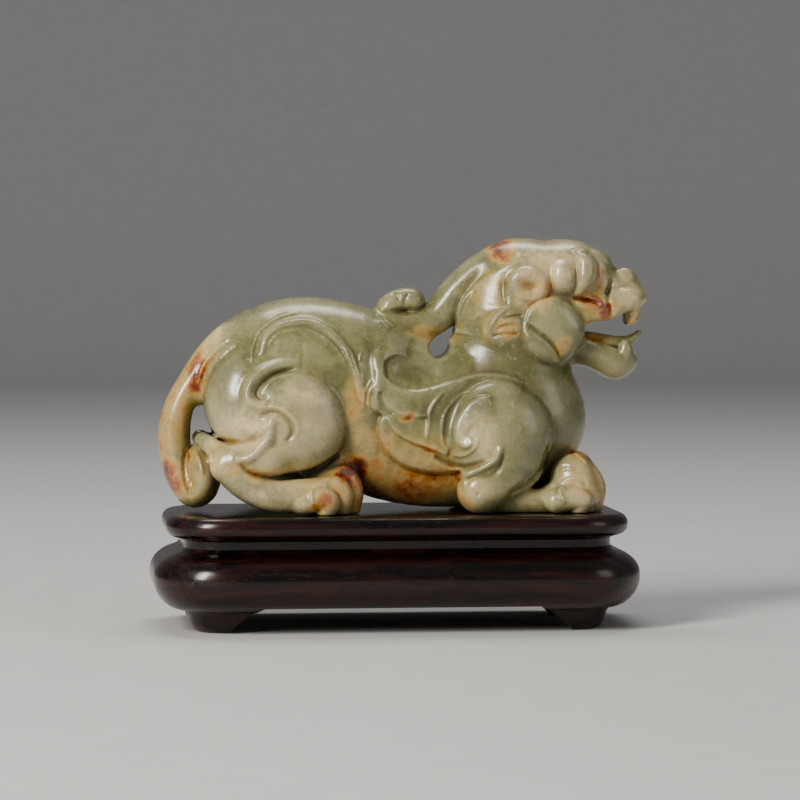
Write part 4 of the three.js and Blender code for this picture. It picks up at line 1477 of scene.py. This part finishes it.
    def head_lines(self) -> tuple[CarvedLine, ...]:
        """Give the lines of cheek, tuft, eye and muzzle."""
        jowl = (
            (42, 51.7), (39.6, 51.9), (37, 51.1), (34.4, 49.4), (33, 46.6), (32.5, 43.6),
            (33.4, 41),
        )
        cheek_crease = (
            (33, 45.6), (34.6, 44.5), (36.5, 43), (38.5, 41.5), (40, 39.8), (41, 38),
            (41.2, 36.4),
        )
        tuft_cuts = (
            ((27.2, 46.9), (29.6, 47.3), (32.2, 47.5)),
            ((25.6, 43.9), (27.4, 45), (30.4, 45.3)),
            ((24.6, 42.3), (27.2, 42.9), (31.2, 43)),
        )
        tuft_edges = (
            ((29.6, 50), (26.4, 47.6), (24.4, 45), (23.6, 43)),
            ((28, 49.2), (25.6, 47.4), (23.8, 44.8)),
        )
        ear_hairs = (((28, 56.4), (28, 53), (28.4, 50)), ((27, 55.8), (27.1, 53.2), (27.4, 50.6)))
        eye_crease = ((44.6, 51.9), (47, 51.4), (49.6, 50.8), (51.4, 50.1))
        lip_crease = ((53.8, 54.4), (53.5, 51.8), (53.9, 49.4), (54.6, 47.2))
        nose_base = ((53.8, 54.8), (55.8, 54.5), (58.6, 54.8), (60.8, 53.9))
        nostril = ((57.4, 57.8), (59, 56.8), (60.4, 55))
        forehead = (
            ((50.3, 63.2), (52.4, 61), (53.9, 58.8)),
            ((44.6, 63.4), (47.4, 64.2), (49.8, 63)),
            ((44.8, 62.2), (47, 62.9), (49, 62.2)),
        )
        return (
            CarvedLine(Stroke.LIP, 0.7, 0.5, jowl, 3.0, 0.35),
            CarvedLine(Stroke.GROOVE, 0.65, 0.6, cheek_crease, taper=0.2),
            *(CarvedLine(Stroke.GROOVE, 0.65, 0.5, cut, taper=0.15) for cut in tuft_cuts),
            *(CarvedLine(Stroke.RIDGE, 0.5, 0.6, edge) for edge in tuft_edges),
            *(CarvedLine(Stroke.GROOVE, 0.5, 0.55, hair) for hair in ear_hairs),
            CarvedLine(Stroke.GROOVE, 1.0, 0.9, eye_crease),
            CarvedLine(Stroke.GROOVE, 0.8, 0.8, lip_crease),
            CarvedLine(Stroke.GROOVE, 0.6, 0.8, nose_base),
            CarvedLine(Stroke.GROOVE, 0.6, 0.6, nostril),
            *(CarvedLine(Stroke.GROOVE, 0.4, 0.5, line) for line in forehead),
        )

    def ridge_lines(self) -> tuple[CarvedLine, ...]:
        """Give the lines that lie near the middle: on the lock of mane and on the tail."""
        nape = (
            (31.2, 62.8), (30, 61.2), (28.5, 60), (26, 58.8), (23, 57.2), (20.5, 55.3),
            (18.5, 53.3), (17, 51), (16, 48.5), (15.6, 45.5), (15.2, 43),
        )
        curl_crease = ((-2.4, 48.6), (0, 48.5), (3, 48.4), (6, 48.8), (9.4, 50))
        curl_cuts = (
            ((4, 52.9), (3.1, 51.6), (2.8, 50.2)),
            ((0.4, 53.2), (1.2, 52.2), (1.6, 51.2)),
        )
        lock_end = (
            ((-3, 46.6), (-1.8, 45.6), (-0.6, 44.4)),
            ((-2, 46.9), (-0.8, 45.8), (0.4, 44.8)),
        )
        tail_roots = (
            ((-40, 42.3), (-43.8, 38.9), (-46.6, 35), (-48, 30.4)),
            ((-38.2, 41.2), (-41.5, 38.6), (-44.6, 35), (-46.2, 31.6)),
        )
        tail_fold = ((-50.7, 15.6), (-51.2, 11.6), (-50.8, 7.2), (-49.4, 3.2))
        tip_ridges = (((-48.6, 15), (-47.4, 12), (-46.6, 8.6)), ((-45.1, 15), (-44.9, 11.4)))
        return (
            CarvedLine(Stroke.LIP, 0.9, 0.45, nape, 4.0, 0.1),
            CarvedLine(Stroke.GROOVE, 0.9, 1.0, curl_crease),
            *(CarvedLine(Stroke.GROOVE, 0.5, 0.7, cut) for cut in curl_cuts),
            *(CarvedLine(Stroke.RIDGE, 0.5, 0.6, line) for line in lock_end),
            *(CarvedLine(Stroke.RIDGE, 0.55, 0.7, line) for line in tail_roots),
            CarvedLine(Stroke.GROOVE, 0.6, 0.8, tail_fold, taper=0.2),
            *(CarvedLine(Stroke.RIDGE, 0.6, 0.9, line) for line in tip_ridges),
        )

    def mark_hollows(self, piece: bpy.types.Object) -> None:
        """Keep on each vertex how deep it lies in a hollow, for the finish.

        Args:
            piece: The finished beast.
        """
        mesh = piece.data
        count = len(mesh.vertices)
        places = np.empty(count * 3)
        mesh.vertices.foreach_get("co", places)
        places = places.reshape(-1, 3) / MM
        ends = np.empty(len(mesh.edges) * 2, int)
        mesh.edges.foreach_get("vertices", ends)
        first, second = ends.reshape(-1, 2).T
        degree = np.bincount(first, minlength=count) + np.bincount(second, minlength=count)

        def average(values: Grid) -> Grid:
            """Average values over each vertex's neighbours."""
            total = np.bincount(first, values[second], count)
            total = total + np.bincount(second, values[first], count)
            return total / np.maximum(degree, 1)

        normals = np.empty(count * 3)
        mesh.vertices.foreach_get("normal", normals)
        normals = normals.reshape(-1, 3)
        smoothed = places.copy()
        for _ in range(self.hollow_reach):
            smoothed = np.stack([average(column) for column in smoothed.T], 1)
        depth = ((smoothed - places) * normals).sum(1)
        for _ in range(self.hollow_softening):
            depth = 0.5 * depth + 0.5 * average(depth)
        # The depth settles stain into hollows, and in the finish it also drives the painted shade
        # in hollows and the painted sheen on ridges
        attribute = mesh.attributes.new("hollow", "FLOAT", "POINT")
        attribute.data.foreach_set("value", (depth * self.hollow_gain).astype(np.float32))

    def build(self) -> bpy.types.Object:
        """Carve the beast and give it its finish.

        Returns:
            The beast's object.
        """
        clay = Clay(self.block_low, self.block_high, self.step)
        self.trunk(clay)
        self.neck_and_skull(clay)
        self.mane_lock(clay)
        self.tail(clay)
        for side in (-1, 1):
            self.hind_leg(clay, side)
            self.fore_leg(clay, side)
            self.cheek(clay, side)
            self.brow_and_eye(clay, side)
            self.muzzle_side(clay, side)
        self.mouth(clay)
        self.strand_hole(clay)
        flank = (
            *self.haunch_lines(),
            *self.flank_lines(),
            *self.wing_lines(),
            *self.shoulder_lines(),
            *self.head_lines(),
        )
        clay.carve(flank, self.viewpoint, self.flank_bare, self.flank_full)
        clay.carve(self.ridge_lines(), self.viewpoint, self.ridge_bare, self.ridge_full)
        clay.seat()
        vertices, quads = clay.skin()
        mesh = bpy.data.meshes.new("jade_beast")
        mesh.from_pydata(((vertices + BEAST_SHIFT) * MM).tolist(), [], quads.tolist())
        mesh.update()
        piece = bpy.data.objects.new("jade_beast", mesh)
        bpy.context.scene.collection.objects.link(piece)
        thin = piece.modifiers.new("thin", "DECIMATE")
        thin.ratio = min(1.0, self.most_triangles / (2 * len(quads)))
        apply_modifiers(piece)
        piece.data.polygons.foreach_set("use_smooth", [True] * len(piece.data.polygons))
        self.mark_hollows(piece)
        piece.data.materials.append(JadeFinish().material())
        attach(piece, "root")
        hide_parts("beast")
        return piece


# The stand


@dataclass
class Stand:
    """The hardwood stand: a round-cornered plate on a bulging belly with four short feet.

    The core is the rectangle between the middles of the four round corners, given by half its
    length and half its depth. The moulding is drawn as offset from the core and height.
    """

    core_x: float = 41.2
    core_y: float = 12.5
    height: float = 28.0
    corner_steps: int = 14
    foot_face: tuple[Point, ...] = ((7.6, 0), (8.3, 0.5), (9.2, 2), (9.7, 3.8), (10.4, 4.9))
    belly_under: tuple[Point, Point] = ((10.8, 13), (7.2, 7.8))
    belly_over: tuple[Point, Point] = ((9.4, 13), (8.6, 6.4))
    waist_face: tuple[Point, ...] = ((11.3, 19.4), (10.7, 20.2), (10.7, 22.1))
    plate_edge: tuple[Point, Point] = ((12.35, 25.35), (2.65, 2.65))
    front_gap: float = 41.6
    front_gap_top: float = 33.1
    front_gap_reach: float = 34.0
    end_gap: float = 13.9
    end_gap_top: float = 5.4
    end_gap_reach: float = 64.0
    arch_height: float = 6.4
    arch_steps: int = 8
    arch_inward: float = 0.35
    arch_upward: float = 0.55
    below_floor: float = -2.0
    edge_softness: float = 0.25
    soft_from: float = 38.0
    smooth_up_to: float = 32.0

    def profile(self) -> list[Point]:
        """Give the moulding from the floor to the top as offset from the core and height."""
        points: list[Point] = [(0, 0), *self.foot_face]
        points += self.arc(*self.belly_under, -86, 0, 10)
        points += self.arc(*self.belly_over, 0, 72, 9)[1:]
        points += self.waist_face
        points += self.arc(*self.plate_edge, -90, 90, 12)
        points.append((0, self.height))
        return points

    @staticmethod
    def arc(centre: Point, radii: Point, start: float, end: float, steps: int) -> list[Point]:
        """Give points on an arc.

        Args:
            centre: Centre, as offset and height.
            radii: Radius along each.
            start: First angle in degrees.
            end: Last angle.
            steps: Number of steps.

        Returns:
            The points, both ends among them.
        """
        angles = [math.radians(start + (end - start) * i / steps) for i in range(steps + 1)]
        return [
            (centre[0] + radii[0] * math.cos(angle), centre[1] + radii[1] * math.sin(angle))
            for angle in angles
        ]

    @staticmethod
    def chain(points: Sequence[Vector]) -> bpy.types.Object:
        """Draw a chain of edges, extruding it point by point.

        Args:
            points: The chain's points.

        Returns:
            An object in edit mode with its last point selected.
        """
        bpy.ops.object.select_all(action="DESELECT")
        bpy.ops.mesh.primitive_plane_add(size=MM, location=(0, 0, 0))
        piece = bpy.context.active_object
        bpy.ops.object.mode_set(mode="EDIT")
        bpy.ops.mesh.select_all(action="SELECT")
        bpy.ops.mesh.merge(type="CENTER")
        bpy.ops.transform.translate(value=points[0])
        for before, after in zip(points[:-1], points[1:]):
            bpy.ops.mesh.extrude_vertices_move(TRANSFORM_OT_translate={"value": after - before})
        return piece

    def sweep(self) -> bpy.types.Object:
        """Carry the moulding round the four corners and sides.

        Returns:
            The closed body of the stand.
        """
        points = [Vector((self.core_x + out, self.core_y, up)) * MM for out, up in self.profile()]
        piece = self.chain(points)
        bpy.ops.mesh.select_all(action="SELECT")
        long_side, short_side = 2 * self.core_x * MM, 2 * self.core_y * MM
        corners = (
            ((1, 1), (-long_side, 0, 0)),
            ((-1, 1), (0, -short_side, 0)),
            ((-1, -1), (long_side, 0, 0)),
            ((1, -1), (0, short_side, 0)),
        )
        for (sign_x, sign_y), side in corners:
            bpy.ops.mesh.spin(
                steps=self.corner_steps,
                angle=-math.pi / 2,
                center=(sign_x * self.core_x * MM, sign_y * self.core_y * MM, 0),
                axis=(0, 0, 1),
            )
            bpy.ops.mesh.extrude_edges_move(TRANSFORM_OT_translate={"value": side})
        bpy.ops.mesh.select_all(action="SELECT")
        bpy.ops.mesh.remove_doubles(threshold=0.01 * MM)
        for level in (0.0, self.height * MM):
            self.fill_level(piece, level)
        bpy.ops.mesh.select_all(action="SELECT")
        bpy.ops.mesh.normals_make_consistent(inside=False)
        bpy.ops.object.mode_set(mode="OBJECT")
        return piece

    def fill_level(self, piece: bpy.types.Object, level: float) -> None:
        """Close the open rectangle at one height.

        Args:
            piece: The stand, in edit mode.
            level: The height.
        """
        bpy.ops.mesh.select_all(action="DESELECT")
        shape = bmesh.from_edit_mesh(piece.data)
        for edge in shape.edges:
            if edge.is_boundary and all(abs(end.co.z - level) < SLACK for end in edge.verts):
                edge.select = True
        bmesh.update_edit_mesh(piece.data)
        bpy.ops.mesh.edge_face_add()

    def arch(
        self, half_floor: float, half_top: float, reach: float, turned: bool
    ) -> bpy.types.Object:
        """Model the block that an arch takes out.

        Args:
            half_floor: Half the opening at the floor.
            half_top: Half the opening at its top.
            reach: How far the block runs past the stand on each side.
            turned: True for the arch that runs lengthwise, seen from the ends.

        Returns:
            The block.
        """
        side = [(half_floor, self.below_floor)]
        for i in range(self.arch_steps + 1):
            t = i / self.arch_steps
            inward = 2 * t * (1 - t) * self.arch_inward + t * t
            up = 2 * t * (1 - t) * self.arch_upward + t * t
            side.append((half_floor + (half_top - half_floor) * inward, self.arch_height * up))
        outline = side + [(-out, up) for out, up in reversed(side)]
        if turned:
            points = [Vector((-reach, out, up)) * MM for out, up in outline]
            travel = Vector((2 * reach, 0, 0)) * MM
        else:
            points = [Vector((out, -reach, up)) * MM for out, up in outline]
            travel = Vector((0, 2 * reach, 0)) * MM
        block = self.chain(points)
        bpy.ops.mesh.select_all(action="SELECT")
        bpy.ops.mesh.edge_face_add()
        bpy.ops.mesh.select_all(action="SELECT")
        bpy.ops.mesh.extrude_region_move(TRANSFORM_OT_translate={"value": travel})
        bpy.ops.mesh.select_all(action="SELECT")
        bpy.ops.mesh.normals_make_consistent(inside=False)
        bpy.ops.object.mode_set(mode="OBJECT")
        return block

    def build(self) -> bpy.types.Object:
        """Model the stand and give it its finish.

        Returns:
            The stand's object.
        """
        body = self.sweep()
        arches = (
            self.arch(self.front_gap, self.front_gap_top, self.front_gap_reach, False),
            self.arch(self.end_gap, self.end_gap_top, self.end_gap_reach, True),
        )
        for number, block in enumerate(arches):
            cut = body.modifiers.new(f"arch_{number}", "BOOLEAN")
            cut.operation = "DIFFERENCE"
            cut.solver = "EXACT"
            cut.object = block
        soften = body.modifiers.new("soften", "BEVEL")
        soften.width = self.edge_softness * MM
        soften.segments = 2
        soften.limit_method = "ANGLE"
        soften.angle_limit = math.radians(self.soft_from)
        apply_modifiers(body)
        for block in arches:
            bpy.data.objects.remove(block)
        self.place(body)
        select_only(body)
        bpy.ops.object.shade_smooth_by_angle(angle=math.radians(self.smooth_up_to))
        name_piece(body, "hardwood_stand")
        body.data.materials.append(HardwoodFinish().material())
        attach(body, "root")
        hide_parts("stand")
        return body

    def place(self, body: bpy.types.Object) -> None:
        """Set the stand where the frame has it.

        Args:
            body: The stand, modelled round the origin.
        """
        low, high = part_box("stand")
        body.location.x = (low.x + high.x) / 2
        settle(body)


# The studio


@dataclass(frozen=True)
class Lamp:
    """A soft lamp: where it hangs, its width and height in metres, its watts and its colour."""

    name: str
    place: Point
    size: tuple[float, float]
    power: float
    colour: Point


@dataclass
class Studio:
    """Plain pale paper that sweeps up behind the piece, soft lights and the camera."""

    target: Point = (0.00015, 0.0, 0.0549)
    distance: float = 0.9
    azimuth: float = -6.0
    elevation: float = 2.4
    view_width: float = 0.1963
    sensor_width: float = 36.0
    nearest: float = 0.01
    farthest: float = 20.0
    floor_half_width: float = 7.0
    floor_front: float = -7.0
    floor_back: float = 1.6
    bend_radius: float = 0.8
    bend_steps: int = 16
    wall_height: float = 2.4
    lamps: tuple[Lamp, ...] = (
        Lamp("key", (-0.74, -0.70, 0.60), (0.25, 0.7), 13.5, (1.0, 0.965, 0.90)),
        Lamp("fill", (0.9, -0.55, 0.4), (0.4, 0.6), 1.2, (1.0, 0.97, 0.93)),
        Lamp("top", (0.0, 0.35, 1.0), (0.7, 0.3), 3.6, (1.0, 0.98, 0.95)),
    )
    room_colour: Point = (0.93, 0.95, 1.0)
    room_strength: float = 0.2
    contrast: str = "AgX - Medium High Contrast"

    def paper(self) -> bpy.types.Object:
        """Lay the floor and bend it up into a wall.

        Returns:
            The floor's object.
        """
        bpy.ops.object.select_all(action="DESELECT")
        depth = self.floor_back - self.floor_front
        middle = (self.floor_back + self.floor_front) / 2
        bpy.ops.mesh.primitive_plane_add(size=1.0, location=(0, middle, 0))
        floor = bpy.context.active_object
        floor.scale = (2 * self.floor_half_width, depth, 1)
        settle(floor)
        bpy.ops.object.mode_set(mode="EDIT")
        bpy.ops.mesh.select_all(action="DESELECT")
        shape = bmesh.from_edit_mesh(floor.data)
        for edge in shape.edges:
            if all(abs(end.co.y - self.floor_back) < SLACK for end in edge.verts):
                edge.select = True
        bmesh.update_edit_mesh(floor.data)
        bpy.ops.mesh.spin(
            steps=self.bend_steps,
            angle=-math.pi / 2,
            center=(0, self.floor_back, self.bend_radius),
            axis=(1, 0, 0),
        )
        bpy.ops.mesh.extrude_edges_move(TRANSFORM_OT_translate={"value": (0, 0, self.wall_height)})
        bpy.ops.object.mode_set(mode="OBJECT")
        bpy.ops.object.shade_smooth()
        name_piece(floor, "studio_floor")
        floor.data.materials.append(StudioFinish().material())
        return floor

    def point(self, name: str, content: bpy.types.ID, place: Vector) -> bpy.types.Object:
        """Hang a lamp or the camera so that it faces the piece.

        Args:
            name: The object's name.
            content: The lamp or the lens.
            place: Where it hangs.

        Returns:
            The object that holds it.
        """
        holder = bpy.data.objects.new(name, content)
        bpy.context.scene.collection.objects.link(holder)
        holder.location = place
        holder.rotation_mode = "QUATERNION"
        holder.rotation_quaternion = (place - Vector(self.target)).to_track_quat("Z", "Y")
        return holder

    def lights(self) -> None:
        """Hang the lamps and set the even light of the room."""
        for lamp in self.lamps:
            light = bpy.data.lights.new(lamp.name, "AREA")
            light.shape = "RECTANGLE"
            light.size, light.size_y = lamp.size
            light.energy = lamp.power
            light.color = lamp.colour
            self.point(lamp.name, light, Vector(lamp.place))
        world = bpy.data.worlds.new("room")
        bpy.context.scene.world = world
        world.use_nodes = True
        background = world.node_tree.nodes["Background"]
        background.inputs["Color"].default_value = (*self.room_colour, 1.0)
        background.inputs["Strength"].default_value = self.room_strength
        bpy.context.scene.view_settings.look = self.contrast

    def camera(self) -> None:
        """Stand the camera at the photograph's angle."""
        azimuth, elevation = math.radians(self.azimuth), math.radians(self.elevation)
        back = Vector(
            (
                math.sin(azimuth) * math.cos(elevation),
                -math.cos(azimuth) * math.cos(elevation),
                math.sin(elevation),
            )
        )
        lens = bpy.data.cameras.new("camera")
        lens.sensor_width = self.sensor_width
        lens.lens = self.sensor_width * self.distance / self.view_width
        lens.clip_start = self.nearest
        lens.clip_end = self.farthest
        place = Vector(self.target) + back * self.distance
        bpy.context.scene.camera = self.point("camera", lens, place)

    def build(self) -> None:
        """Set up floor, lights and camera."""
        self.camera()
        self.paper()
        self.lights()


def report(piece: bpy.types.Object) -> None:
    """Log one piece's name and size.

    Args:
        piece: The finished object.
    """
    faces = sum(len(face.vertices) - 2 for face in piece.data.polygons)
    size = ", ".join(f"{value / MM:.1f}" for value in piece.dimensions)
    log.info("%s: %d triangles, %s mm", piece.name, faces, size)


def main() -> None:
    """Build the studio, the stand and the beast."""
    logging.basicConfig(level=logging.INFO, format="%(message)s")
    Studio().build()
    for sub_assembly in (Stand(), Beast()):
        report(sub_assembly.build())


if __name__ == "__main__":
    main()
